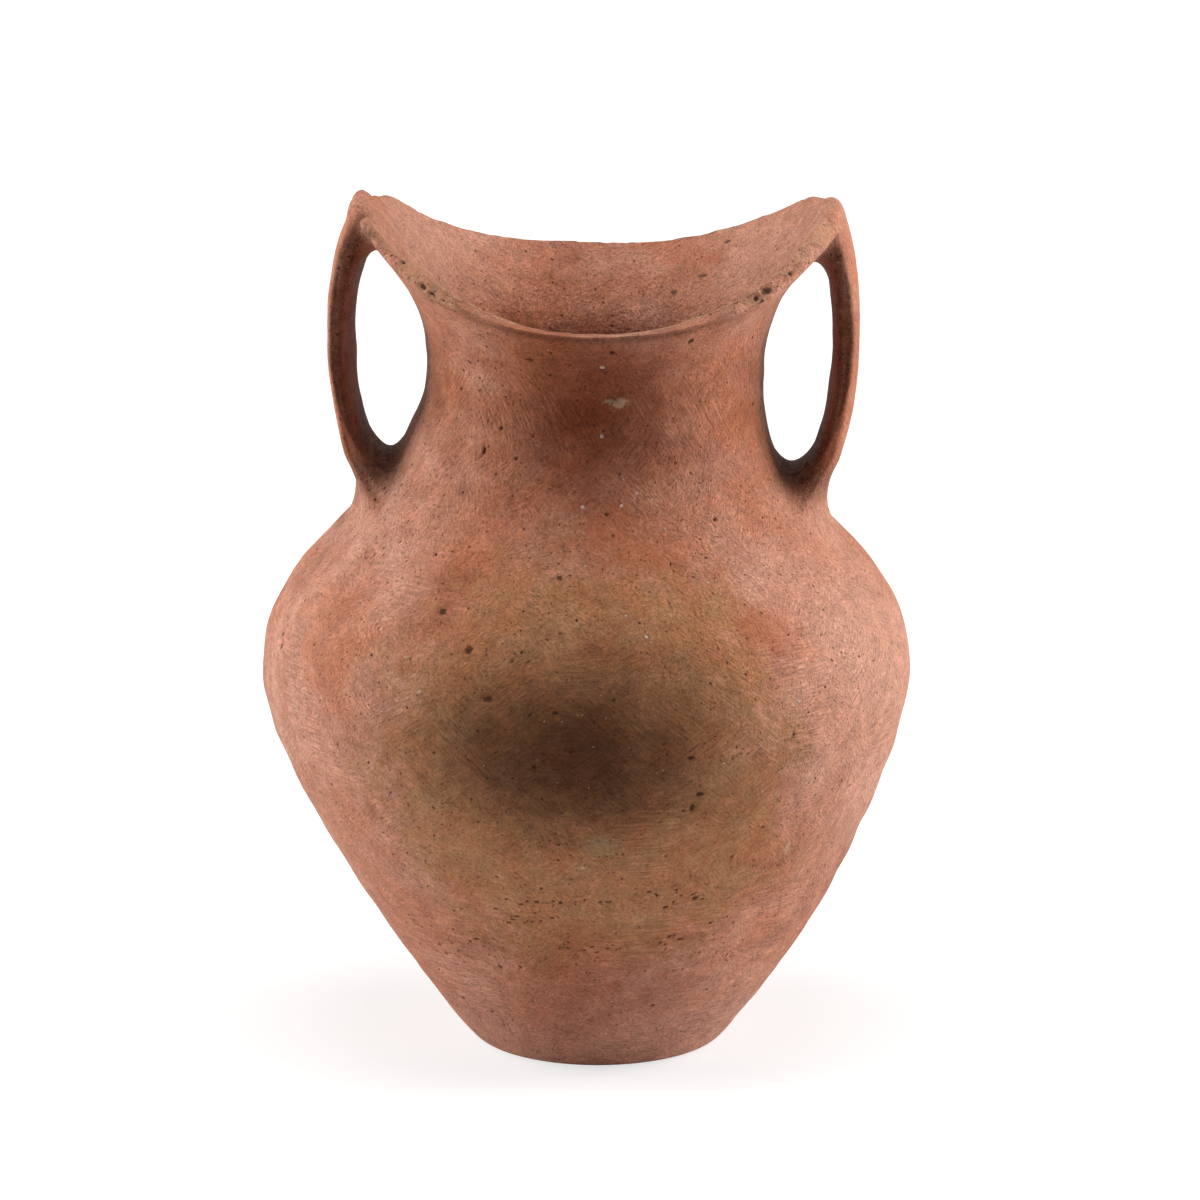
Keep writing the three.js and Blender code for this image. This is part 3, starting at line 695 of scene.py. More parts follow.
    def lip_wear_and_highlight(self):
        """The lip is unburnished towards the handles and only thinned by rubbing at front and back; its inner edge
        gets a painted highlight.
        """
        side = np.abs(np.cos(self.angle))[None, :]
        level = self.form.level_cut(self.angle)
        outer, lip, inner = (np.where(self.sheet == sheet, 1.0, 0.0)[:, None] for sheet in (OUTER, LIP, INNER))
        patchy = WORN_BASE + layers(self.points, WORN_LUMPS)
        face = lip * mix(WORN_FRONT, 1.0, smooth(side, *WORN_SIDE)) * patchy
        inmost = self.form.mouth.lip
        # Painted highlight: the lip's inner rim is made pale as if it caught the light
        rim_highlight = smooth(self.depth, inmost - RIM_START, inmost - RIM_FULL)[:, None]
        rim_highlight = lip * rim_highlight * (RIM_BASE + RIM_PATCHY * patchy)
        edge = smooth(self.length, self.form.top - EDGE_RUN, self.form.top)[:, None]
        wear_and_highlight = (self.looks["bare"], face, rim_highlight, outer * edge * OUTER_WEAR * patchy * (1 - level),
                inner * edge * INNER_WEAR * patchy)
        self.looks["bare"] = np.clip(np.maximum.reduce(wear_and_highlight), 0, 1)
        # Painted highlight: a thin pale line along the lip's inner edge at the front
        line = lip * bell(self.depth - inmost + HIGHLIGHT_DROP, HIGHLIGHT_WIDTH)[:, None]
        self.looks["lime_and_highlight"] = np.maximum(self.looks["lime_and_highlight"], line * level)

    def paint_dirt_and_shade(self):
        """Dirt and painted shade under the front of the lip and in the corners of the handles, and a stain on the
        lip's left quarter.
        """
        boxes = (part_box(f"{side}_foot_wad") for side, _ in HANDS)
        self.corners = [np.array((low + high) / 2) + CORNER_LIFT for low, high in boxes]
        # Dirt and painted shade in the corners between straps and shoulder
        dirt_and_shade = self.corner_dirt_and_shade(self.points) * (self.sheet == OUTER)[:, None]
        front = -np.sin(self.angle)
        stain = smooth(front, *STAIN_START) * (1 - smooth(front, *STAIN_STOP)) * (np.cos(self.angle) < 0)
        stain = stain * (STAIN_BASE + layers(self.points, STAIN_LUMPS)) * (self.sheet == LIP)[:, None]
        # Painted shadow and dirt in the hollow under the front of the lip
        hollow = self.under_lip * UNDER_LIP_SHADE_AND_DIRT
        self.looks["soot_and_shade"] = np.clip(np.maximum.reduce((hollow, dirt_and_shade, stain)), 0, 1)

    def corner_dirt_and_shade(self, points):
        """Dirt and painted shade between each strap and the shoulder, on wall and strap alike."""
        near = np.maximum(*(near_to(points, corner, CORNER_REACH) for corner in self.corners))
        return np.minimum(CORNER_FULL * near, 1)

    def outer_reach(self, points):
        """How far points lie outside the outer face, seen from the axis, with the face's radius, angle and top."""
        height = points[..., 2]
        lean = self.form.lean(height)
        radius = np.hypot(points[..., 0] - lean, points[..., 1])
        turn = np.arctan2(points[..., 1], points[..., 0] - lean) % FULL_TURN
        place = turn / FULL_TURN * COLUMNS
        first = np.floor(place).astype(int) % COLUMNS
        part = place - np.floor(place)
        rows = slice(self.outer_joints[0] + FOOT_ROWS + EDGE_ROWS, self.last_outer + 1)
        face = np.zeros(height.shape)
        top = np.zeros(height.shape)
        for near, weight in ((first, 1 - part), ((first + 1) % COLUMNS, part)):
            for column in np.unique(near):
                here = near == column
                line = self.points[rows, column]
                reach = np.hypot(line[:, 0] - self.form.lean(line[:, 2]), line[:, 1])
                face[here] += weight[here] * np.interp(height[here], line[:, 2], reach)
                top[here] += weight[here] * line[-1, 2]
        return radius - face, face, turn, top

    def on_face(self, height, turn, radius):
        """Points at an angle and a radius about the leaning axis."""
        return np.stack((self.form.lean(height) + radius * np.cos(turn), radius * np.sin(turn), height), axis=-1)


def jar_settings(context):
    return context.scene.pottery_jar


def jar_skin(context):
    """The wall's skin, worked out once."""
    if "skin" not in made:
        made["skin"] = JarSkin(jar_settings(context))
    return made["skin"]


class Nodes:
    """Adds nodes to a tree and joins their sockets."""

    def __init__(self, tree):
        self.tree = tree

    def put(self, socket, value):
        if isinstance(value, bpy.types.NodeSocket):
            self.tree.links.new(value, socket)
        else:
            socket.default_value = value

    def add(self, kind, values=None, **settings):
        node = self.tree.nodes.new(kind)
        for key, value in settings.items():
            setattr(node, key, value)
        for key, value in (values or {}).items():
            self.put(node.inputs[key], value)
        return node

    def math(self, operation, first, second=0.0, third=0.0):
        node = self.add("ShaderNodeMath", {0: first, 1: second, 2: third}, operation=operation)
        return node.outputs[0]

    def vector(self, operation, first, second=(0, 0, 0)):
        node = self.add("ShaderNodeVectorMath", {0: first}, operation=operation)
        self.put(node.inputs["Scale" if operation == "SCALE" else 1], second)
        return node.outputs["Value" if operation == "LENGTH" else "Vector"]

    def combine(self, across, along, up):
        return self.add("ShaderNodeCombineXYZ", {0: across, 1: along, 2: up}).outputs[0]

    def apart(self, vector):
        return self.add("ShaderNodeSeparateXYZ", {0: vector}).outputs

    def ease(self, value, low, high, to_low=0.0, to_high=1.0):
        """Rises softly from to_low to to_high."""
        node = self.add("ShaderNodeMapRange", {"Value": value, "From Min": low, "From Max": high,
                                               "To Min": to_low, "To Max": to_high},
                        interpolation_type="SMOOTHSTEP")
        return node.outputs["Result"]

    def blend(self, part, first, second, way="MIX"):
        """Mixes two colours."""
        node = self.add("ShaderNodeMix", {0: part, 6: first, 7: second}, data_type="RGBA", blend_type=way)
        return node.outputs[2]

    def lay(self, colour, mask, strength, other):
        """Lays another colour over a colour, as strongly as given where a mask is full."""
        return self.blend(self.math("MULTIPLY", mask, strength), colour, other)

    def either(self, first, second, part):
        """Mixes two values: the first where the part is full, the second where it is nothing."""
        return self.math("ADD", self.math("MULTIPLY", first, part),
                         self.math("MULTIPLY", second, self.math("SUBTRACT", 1.0, part)))

    def noise(self, vector, scale, detail=2.0, roughness=0.5, shift=None):
        if shift:
            vector = self.vector("ADD", vector, shift)
        node = self.add("ShaderNodeTexNoise", {"Vector": vector, "Scale": scale, "Detail": detail,
                                               "Roughness": roughness})
        return node.outputs["Fac"]

    def roughen(self, value, texture, amount):
        """Adds a texture's ups and downs to a value."""
        return self.math("MULTIPLY_ADD", self.math("SUBTRACT", texture, 0.5), amount, value)

    def look(self, label):
        """One of the looks that a piece carries."""
        return self.add("ShaderNodeAttribute", attribute_name=label).outputs["Fac"]

    def use(self, group, values):
        """Places a node group and gives its outputs."""
        return self.add("ShaderNodeGroup", values, node_tree=group).outputs

    def shown_rays(self):
        """1 on rays by which the floor and the sky are seen, straight or in gloss and glass."""
        path = self.add("ShaderNodeLightPath").outputs
        return self.math("MAXIMUM", path["Is Camera Ray"],
                         self.math("MAXIMUM", path["Is Glossy Ray"], path["Is Transmission Ray"]))


def new_group(name, kind, inputs, outputs):
    """An empty node group with its sockets, its helper and the ends to join to."""
    tree = bpy.data.node_groups.new(name, kind)
    for label, socket, default in inputs:
        item = tree.interface.new_socket(name=label, in_out="INPUT", socket_type=f"NodeSocket{socket}")
        if default is not None:
            item.default_value = default
    for label, socket in outputs:
        tree.interface.new_socket(name=label, in_out="OUTPUT", socket_type=f"NodeSocket{socket}")
    nodes = Nodes(tree)
    source = nodes.add("NodeGroupInput")
    target = nodes.add("NodeGroupOutput")
    return tree, nodes, source.outputs, target.inputs


def shared(name, maker):
    """A node group or material that is built once."""
    if name not in made:
        made[name] = maker(name)
    return made[name]


# Geometry Nodes trees

def grid_steps(nodes, along):
    """Column and row of each point of a grid, from the number of points in a column."""
    index = nodes.add("GeometryNodeInputIndex").outputs[0]
    column = nodes.math("FLOOR", nodes.math("DIVIDE", nodes.math("ADD", index, 0.5), along))
    return column, nodes.math("SUBTRACT", index, nodes.math("MULTIPLY", column, along))


def turn_of(nodes, step, steps):
    """Angle of a step of a full round."""
    return nodes.math("MULTIPLY", nodes.math("DIVIDE", step, steps), FULL_TURN)


def sampled(nodes, shape, value, index):
    """A vector of one of a shape's points."""
    return nodes.add("GeometryNodeSampleIndex", {"Geometry": shape, "Value": value, "Index": index},
                     data_type="FLOAT_VECTOR").outputs[0]


def close_grid(nodes, shape, labels, target, material):
    """Moves a grid's points, which keep their steps as labels, to their places and closes the seam."""
    for label, value in labels:
        shape = nodes.add("GeometryNodeStoreNamedAttribute", {"Geometry": shape, "Name": label, "Value": value},
                          data_type="INT", domain="POINT").outputs[0]
    moved = nodes.add("GeometryNodeSetPosition", {"Geometry": shape, "Position": target})
    joined = nodes.add("GeometryNodeMergeByDistance", {"Geometry": moved.outputs[0], "Distance": CLOSE_GAP})
    return dress(nodes, joined.outputs[0], material)


def dress(nodes, shape, material):
    """Makes a shape plain geometry and gives it its material."""
    whole = nodes.add("GeometryNodeRealizeInstances", {"Geometry": shape})
    return nodes.add("GeometryNodeSetMaterial", {"Geometry": whole.outputs[0], "Material": material}).outputs[0]


def turned_ring_tree(name):
    """Turns a section, given as a list of points, round the upright axis into a ring or a slab."""
    tree, nodes, given, result = new_group(name, "GeometryNodeTree", (
        ("Section", "Geometry", None), ("Columns", "Int", COLUMNS), ("Rows", "Int", 2), ("Loop", "Int", 1),
        ("Clay", "Material", None)), (("Ring", "Geometry"),))
    across = nodes.math("ADD", given["Columns"], 1)
    along = nodes.math("ADD", given["Rows"], given["Loop"])
    grid = nodes.add("GeometryNodeMeshGrid", {"Vertices X": across, "Vertices Y": along})
    column, row = grid_steps(nodes, along)
    column = nodes.math("MODULO", column, given["Columns"])
    row = nodes.math("MODULO", row, given["Rows"])
    place = nodes.add("GeometryNodeInputPosition").outputs[0]
    radius, _, height = nodes.apart(sampled(nodes, given["Section"], place, row))
    turn = turn_of(nodes, column, given["Columns"])
    target = nodes.combine(nodes.math("MULTIPLY", radius, nodes.math("COSINE", turn)),
                           nodes.math("MULTIPLY", radius, nodes.math("SINE", turn)), height)
    nodes.put(result["Ring"], close_grid(nodes, grid.outputs["Mesh"], (("column", column), ("row", row)), target,
                                         given["Clay"]))
    return tree


def strap_tree(name):
    """Sweeps a flattened oval along a path whose points carry its half sizes and directions."""
    tree, nodes, given, result = new_group(name, "GeometryNodeTree", (
        ("Path", "Geometry", None), ("Rows", "Int", STRAP_ROWS), ("Sides", "Int", STRAP_SIDES),
        ("Squareness", "Float", 2.0), ("Edge shift", "Float", 0.1), ("Clay", "Material", None)),
        (("Strap", "Geometry"),))
    around = nodes.math("ADD", given["Sides"], 1)
    grid = nodes.add("GeometryNodeMeshGrid", {"Vertices X": given["Rows"], "Vertices Y": around})
    row, side = grid_steps(nodes, around)
    side = nodes.math("MODULO", side, given["Sides"])
    turn = turn_of(nodes, side, given["Sides"])
    power = nodes.math("DIVIDE", 2.0, given["Squareness"])

    def oval(value):
        return nodes.math("MULTIPLY", nodes.math("SIGN", value),
                          nodes.math("POWER", nodes.math("ABSOLUTE", value), power))

    def half(label):
        value = nodes.add("GeometryNodeInputNamedAttribute", {"Name": label}, data_type="FLOAT_VECTOR").outputs[0]
        return sampled(nodes, given["Path"], value, row)

    inner = oval(nodes.math("COSINE", turn))
    inner = nodes.math("MULTIPLY_ADD", nodes.math("ABSOLUTE", inner), given["Edge shift"], inner)
    through = nodes.vector("SCALE", half("half_thickness"), inner)
    across = nodes.vector("SCALE", half("half_width"), oval(nodes.math("SINE", turn)))
    middle = sampled(nodes, given["Path"], nodes.add("GeometryNodeInputPosition").outputs[0], row)
    target = nodes.vector("ADD", middle, nodes.vector("ADD", through, across))
    nodes.put(result["Strap"], close_grid(nodes, grid.outputs["Mesh"], (("row", row), ("side", side)), target,
                                          given["Clay"]))
    return tree


def grit_tree(name):
    """Scatters small flattened mineral grains over a surface, where its grit attribute is high."""
    tree, nodes, given, result = new_group(name, "GeometryNodeTree", (
        ("Surface", "Geometry", None), ("Density", "Float", 20000.0), ("Smallest", "Float", 0.0004),
        ("Largest", "Float", 0.0011), ("Least stretch", "Vector", (0.7, 0.7, 0.30)),
        ("Most stretch", "Vector", (1.3, 1.0, 0.55)), ("Seed", "Int", 7), ("Mineral", "Material", None)),
        (("Grit", "Geometry"),))
    amount = nodes.add("GeometryNodeInputNamedAttribute", {"Name": "grit"}, data_type="FLOAT").outputs[0]
    density = nodes.math("MULTIPLY", amount, given["Density"])
    points = nodes.add("GeometryNodeDistributePointsOnFaces", {"Mesh": given["Surface"], "Density": density,
                                                               "Seed": given["Seed"]})
    grain = nodes.add("GeometryNodeMeshIcoSphere", {"Radius": 1.0, "Subdivisions": 2})
    chance = nodes.add("FunctionNodeRandomValue", {"Seed": given["Seed"]}, data_type="FLOAT").outputs[1]
    girth = nodes.math("MULTIPLY_ADD", nodes.math("POWER", chance, 3.0),
                       nodes.math("SUBTRACT", given["Largest"], given["Smallest"]), given["Smallest"])

    def random_vector(least, most):
        return nodes.add("FunctionNodeRandomValue", {0: least, 1: most}, data_type="FLOAT_VECTOR").outputs[0]

    stretch = random_vector(given["Least stretch"], given["Most stretch"])
    placed = nodes.add("GeometryNodeInstanceOnPoints", {
        "Points": points.outputs["Points"], "Instance": grain.outputs["Mesh"],
        "Rotation": points.outputs["Rotation"], "Scale": nodes.vector("SCALE", stretch, girth)})
    turned = nodes.add("GeometryNodeRotateInstances", {"Instances": placed.outputs[0],
                                                       "Rotation": random_vector((0, 0, 0), (0, 0, FULL_TURN))})
    nodes.put(result["Grit"], dress(nodes, turned.outputs[0], given["Mineral"]))
    return tree


def grow(context, source, tree, values):
    """Runs a tree on a mesh and gives the result as a plain mesh."""
    carrier = bpy.data.objects.new("carrier", source)
    context.scene.collection.objects.link(carrier)
    modifier = carrier.modifiers.new("grow", "NODES")
    modifier.node_group = tree
    for item in tree.interface.items_tree:
        if item.in_out == "INPUT" and item.name in values:
            modifier[item.identifier] = values[item.name]
    context.view_layer.update()
    evaluated = carrier.evaluated_get(context.evaluated_depsgraph_get())
    mesh = bpy.data.meshes.new_from_object(evaluated)
    carrier.modifiers.remove(modifier)
    bpy.data.objects.remove(carrier)
    bpy.data.meshes.remove(source)
    return mesh


def point_mesh(name, points):
    """A mesh of bare points, which a tree reads as a section or a path."""
    mesh = bpy.data.meshes.new(name)
    mesh.from_pydata(points, [], [])
    return mesh


def read(mesh, label):
    """The whole numbers that a tree left on a mesh's points."""
    values = np.zeros(len(mesh.attributes[label].data), np.int32)
    mesh.attributes[label].data.foreach_get("value", values)
    return values


def write(mesh, label, values):
    """A number for each point of a mesh."""
    layer = mesh.attributes.new(label, "FLOAT", "POINT")
    layer.data.foreach_set("value", np.ascontiguousarray(values, np.float32))


def write_looks(mesh, looks):
    """All the looks of a piece; those that it hasn't got are nothing."""
    for label in LOOKS:
        write(mesh, label, looks.get(label, np.zeros(len(mesh.vertices))))


def loop_points(mesh):
    index = np.zeros(len(mesh.loops), np.int32)
    mesh.loops.foreach_get("vertex_index", index)
    return index


def full_round(steps, whole):
    """Steps at the corners of faces; past the seam, the first step counts as a whole round."""
    return np.where((np.ptp(steps, axis=1) > 1)[:, None] & (steps == 0), whole, steps)


def lay_map(mesh, across, up):
    """Gives a mesh a flat map of its own, from 0 to 1 both ways."""
    layer = mesh.uv_layers.new(name=BAKE_MAP)
    layer.data.foreach_set("uv", np.stack((across, up), axis=-1).astype(np.float32).ravel())


def move_to(mesh, points):
    """Moves a mesh's points, and turns its faces outwards."""
    if not np.isfinite(points).all():
        raise RuntimeError("a piece has points without a place")
    mesh.vertices.foreach_set("co", np.ascontiguousarray(points, np.float32).ravel())
    mesh.update()
    mesh.calc_loop_triangles()
    corners = np.zeros(len(mesh.loop_triangles) * 3, np.int32)
    mesh.loop_triangles.foreach_get("vertices", corners)
    first, second, third = (points[corners[place::3]] for place in range(3))
    if np.einsum("ij,ij->i", first, np.cross(second, third)).sum() < 0:
        mesh.flip_normals()
    mesh.polygons.foreach_set("use_smooth", np.ones(len(mesh.polygons), bool))
    mesh.update()


def finish_piece(context, name, mesh, nodes):
    """Makes a piece of the jar from a mesh and hides the CAD nodes that it stands for."""
    mesh.name = name
    for label in ("row", "column", "side"):
        if label in mesh.attributes:
            mesh.attributes.remove(mesh.attributes[label])
    piece = bpy.data.objects.new(name, mesh)
    context.scene.collection.objects.link(piece)
    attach(piece, BODY)
    if nodes:
        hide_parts(*nodes)


def ring_piece(context, name, rows, material, nodes, inner_weight):
    """A ring of the wall from rows of the skin: a closed shell whose joints lie inside the clay."""
    skin = jar_skin(context)
    section = skin.points[rows, 0].copy()
    section[:, 0] = np.hypot(section[:, 0], section[:, 1])
    section[:, 1] = 0
    mesh = grow(context, point_mesh("section", section.tolist()), shared("turned_ring", turned_ring_tree), {
        "Columns": COLUMNS, "Rows": len(rows), "Loop": 1, "Clay": material})
    column, row = read(mesh, "column"), read(mesh, "row")
    move_to(mesh, skin.points[rows[row], column])
    write_looks(mesh, {label: values[rows[row], column] for label, values in skin.looks.items()})
    corners = loop_points(mesh).reshape(-1, 4)
    turn, step = full_round(column[corners], COLUMNS), full_round(row[corners], len(rows))
    low = step.min(axis=1)
    joint = np.roll(rows, -1)[low] != rows[low] + 1
    normals = skin.normals[rows[step % len(rows)], turn % COLUMNS]
    flat = np.zeros(len(mesh.polygons) * 3, np.float32)
    mesh.polygons.foreach_get("normal", flat)
    normals[joint] = flat.reshape(-1, 3)[joint][:, None, :]
    mesh.normals_split_custom_set(normals.reshape(-1, 3).tolist())
    unroll(mesh, skin, rows, turn, step, inner_weight)
    finish_piece(context, name, mesh, nodes)


def unroll(mesh, skin, rows, turn, step, inner_weight):
    """Lays the ring out flat in bands, one above the other, as a map of its own."""
    closed = np.append(rows, rows[0])
    gaps = np.linalg.norm(np.diff(skin.points[closed], axis=0), axis=-1).mean(axis=1)
    hidden = (skin.sheet[closed[1:]] == INNER) & (skin.sheet[closed[:-1]] == INNER)
    gaps = np.where(hidden, gaps * inner_weight, gaps)
    along = np.concatenate(((0,), np.cumsum(gaps)))
    round_length = np.linalg.norm(np.diff(skin.points[rows], axis=1), axis=-1).sum(axis=1).max()
    bands = max(1, round(math.sqrt(round_length / along[-1])))
    width = COLUMNS / bands
    band = np.floor(turn.min(axis=1) / width)[:, None]
    across = mix(BAND_MARGIN, 1 - BAND_MARGIN, turn / width - band)
    up = (band + mix(BAND_MARGIN, 1 - BAND_MARGIN, along[step] / along[-1])) / bands
    lay_map(mesh, across, up)


# Clay materials

# Noises of the clay: scale, detail, roughness and, where two would fall together, a shift
RELIEF, DENTS, CLOUDED = (590.0, 3, 0.6), (190.0, 3, 0.5), (125.0, 5, 0.65, (7, 1, 3))
BROWNED, BLOOMED = (24.0, 5, 0.6, (5, 5, 5)), (33.0, 6, 0.65, (2, 9, 4))
SANDY, CRUMBLY, SOOT_SHADE_NOISE = (420.0, 4, 0.7), (620.0, 4, 0.7), (380.0, 4, 0.7, (4, 2, 8))
STROKE_NOISE, STROKE_PATCHES, STROKE_WAYS = (1.0, 3, 0.6), (42.0, 2), (26.0, 2)
PATCH_EDGE, PATCH_STREAKS = (38.0, 5, 0.6), (140.0, 5, 0.7)
GRAIN_TONE, GRAIN_GLOSS = (160.0, 2), (900.0, 2)

# Light and dark mineral grains
GRAIN_LIGHT, GRAIN_DARK = (0.52, 0.40, 0.33, 1), (0.30, 0.18, 0.13, 1)

# Open pores: places of their cells, cells to a metre, size and rarity
Pores = namedtuple("Pores", "shift scale size rarity strength")
PORES = Pores((0, 0, 0), 290.0, 0.23, 0.66, 0.80)
PINHOLES = Pores((1.3, 4.7, 0.9), 560.0, 0.31, 0.34, 0.58)
SPECKS = Pores((3.3, 1.7, 2.1), 420.0, 0.19, 0.62, 0.55)

# How the clays of the wall and of the slab are smoothed: twist of the strokes, their width and length,
# whether the fire has marked the clay, and how red it is
Smoothing = namedtuple("Smoothing", "twist width length smoked redness")
WALL_SMOOTHING = Smoothing(9.0, 980.0, 120.0, True, 0.04)
SLAB_SMOOTHING = Smoothing(0.5, 300.0, 300.0, False, 0.10)

# Fire marks, worn places, and painted light and shade of the wall, each over those before it. A patch has its
# middle, its reach along each axis, its full core and its edge as shares of the reach, and its raggedness; a band
# has the heights at which it starts and is full.
FirePatch = namedtuple("FirePatch", "tint strength centre reach core edge ragged")
FireBand = namedtuple("FireBand", "tint strength start full")
FIRE_MARKS = (
    # Pale patch on the right shoulder, partly pale clay and partly painted highlight
    FirePatch("pale", 0.72, (0.105, -0.055, 0.172), (0.060, 0.080, 0.105), 0.10, 1.15, 0.6),
    FirePatch("halo", 0.92, (-0.006, -0.112, 0.138), (0.094, 0.088, 0.102), 0.68, 1.05, 0.75),
    FirePatch("smoke", 0.95, (-0.007, -0.122, 0.151), (0.075, 0.085, 0.048), 0.12, 1.16, 0.55),
    # Browned front of the neck, partly fired colour and partly painted shade of its hollow front
    FirePatch("brown", 0.92, (-0.001, -0.070, 0.274), (0.050, 0.050, 0.056), 0.05, 1.15, 0.6),
    FireBand("red", 0.16, 0.215, 0.260),
    FirePatch("pale", 0.60, (-0.066, 0.030, 0.318), (0.040, 0.075, 0.045), 0.20, 1.10, 0.6),
    FirePatch("pale", 0.60, (0.064, 0.030, 0.312), (0.040, 0.075, 0.045), 0.20, 1.10, 0.6),
    # Painted light: the downward-facing foot is made paler towards the bottom
    FireBand("pale", 0.55, 0.045, 0.006),
    # Darker brown at the front of the foot
    FirePatch("brown", 0.45, (0.0, -0.070, 0.045), (0.055, 0.060, 0.048), 0.10, 1.15, 0.6),
    FirePatch("film", 0.42, (0.001, -0.122, 0.112), (0.0105, 0.020, 0.0062), 0.45, 1.10, 0.5),
)
HALO_RED = 0.42

# Middle part of a noise, over which tones change
MIDDLE = (0.30, 0.70)


def mottle_group(name):
    """Broad and small patches of colour and the fine grain of the clay."""
    tree, nodes, given, result = new_group(name, "ShaderNodeTree", (
        ("Vector", "Vector", None), ("Broad", "Float", 17.0), ("Small", "Float", 70.0), ("Grain", "Float", 1150.0),
    ), (("Broad", "Float"), ("Small", "Float"), ("Grain", "Float")))
    nodes.put(result["Broad"], nodes.ease(nodes.noise(given["Vector"], given["Broad"], 4, 0.55), 0.34, 0.68))
    nodes.put(result["Small"], nodes.ease(nodes.noise(given["Vector"], given["Small"], 5, 0.6), 0.32, 0.70))
    nodes.put(result["Grain"], nodes.noise(given["Vector"], given["Grain"], 3, 0.65))
    return tree


def burnish_group(name):
    """Strokes of the burnishing stone: fine streaks that climb round the jar both ways, in patches."""
    tree, nodes, given, result = new_group(name, "ShaderNodeTree", (
        ("Vector", "Vector", None), ("Twist", "Float", 9.0), ("Width", "Float", 700.0), ("Length", "Float", 60.0),
        ("Back twist", "Float", -1.35), ("Flatness", "Vector", (1, 1, 11)), ("Level from", "Float", 0.235),
        ("Level below", "Float", 0.205)), (("Strokes", "Float"),))
    height = nodes.apart(given["Vector"])[2]

    def streaks(way):
        angle = nodes.math("MULTIPLY", nodes.math("MULTIPLY", height, given["Twist"]), way)
        turned = nodes.add("ShaderNodeVectorRotate", {"Vector": given["Vector"], "Angle": angle},
                           rotation_type="Z_AXIS").outputs[0]
        stretch = nodes.combine(given["Width"], given["Width"], given["Length"])
        return nodes.noise(nodes.vector("MULTIPLY", turned, stretch), *STROKE_NOISE)

    flat = nodes.vector("MULTIPLY", given["Vector"], given["Flatness"])
    level = nodes.noise(nodes.vector("SCALE", flat, given["Length"]), *STROKE_NOISE)
    patches = nodes.ease(nodes.noise(given["Vector"], *STROKE_PATCHES), 0.40, 0.58)
    slanted = nodes.either(streaks(1.0), streaks(given["Back twist"]), patches)
    ways = nodes.math("MULTIPLY", nodes.ease(nodes.noise(given["Vector"], *STROKE_WAYS), 0.50, 0.62),
                      nodes.ease(height, given["Level from"], given["Level below"]))
    nodes.put(result["Strokes"], nodes.either(level, slanted, ways))
    return tree


def pores_group(name):
    """Small open pores and specks, one in a share of the cells."""
    tree, nodes, given, result = new_group(name, "ShaderNodeTree", (
        ("Vector", "Vector", None), ("Scale", "Float", PORES.scale), ("Size", "Float", PORES.size),
        ("Rarity", "Float", PORES.rarity), ("Crooked", "Float", 0.0016)), (("Pores", "Float"),))
    wander = nodes.add("ShaderNodeTexNoise", {"Vector": given["Vector"], "Scale": 500.0}).outputs["Color"]
    bent = nodes.vector("ADD", given["Vector"], nodes.vector("SCALE", wander, given["Crooked"]))
    cells = nodes.add("ShaderNodeTexVoronoi", {"Vector": bent, "Scale": given["Scale"]})
    lot = nodes.apart(cells.outputs["Color"])
    chosen = nodes.math("GREATER_THAN", lot[0], given["Rarity"])
    girth = nodes.math("MULTIPLY", nodes.ease(lot[1], 0.2, 1.0, 0.4, 1.0), given["Size"])
    near = nodes.ease(cells.outputs["Distance"], girth, nodes.math("MULTIPLY", girth, 0.45))
    nodes.put(result["Pores"], nodes.math("MULTIPLY", near, chosen))
    return tree


def patch_group(name):
    """A soft ragged patch round a point of the jar."""
    tree, nodes, given, result = new_group(name, "ShaderNodeTree", (
        ("Vector", "Vector", None), ("Centre", "Vector", (0, 0, 0)), ("Reach", "Vector", (0.1, 0.1, 0.1)),
        ("Core", "Float", 0.3), ("Edge", "Float", 1.0), ("Ragged", "Float", 0.3)), (("Patch", "Float"),))
    off = nodes.vector("DIVIDE", nodes.vector("SUBTRACT", given["Vector"], given["Centre"]), given["Reach"])
    far = nodes.roughen(nodes.vector("LENGTH", off), nodes.noise(given["Vector"], *PATCH_EDGE), given["Ragged"])
    streaked = nodes.noise(nodes.vector("MULTIPLY", given["Vector"], (1, 1, 1.8)), *PATCH_STREAKS)
    far = nodes.roughen(far, streaked, nodes.math("MULTIPLY", given["Ragged"], 0.9))
    nodes.put(result["Patch"], nodes.ease(far, given["Edge"], given["Core"]))
    return tree


def new_material(name):
    """An empty material, its helper, its shader and the place on the piece."""
    material = bpy.data.materials.new(name)
    material.use_nodes = True
    nodes = Nodes(material.node_tree)
    place = nodes.add("ShaderNodeTexCoord").outputs["Object"]
    return material, nodes, material.node_tree.nodes["Principled BSDF"], place


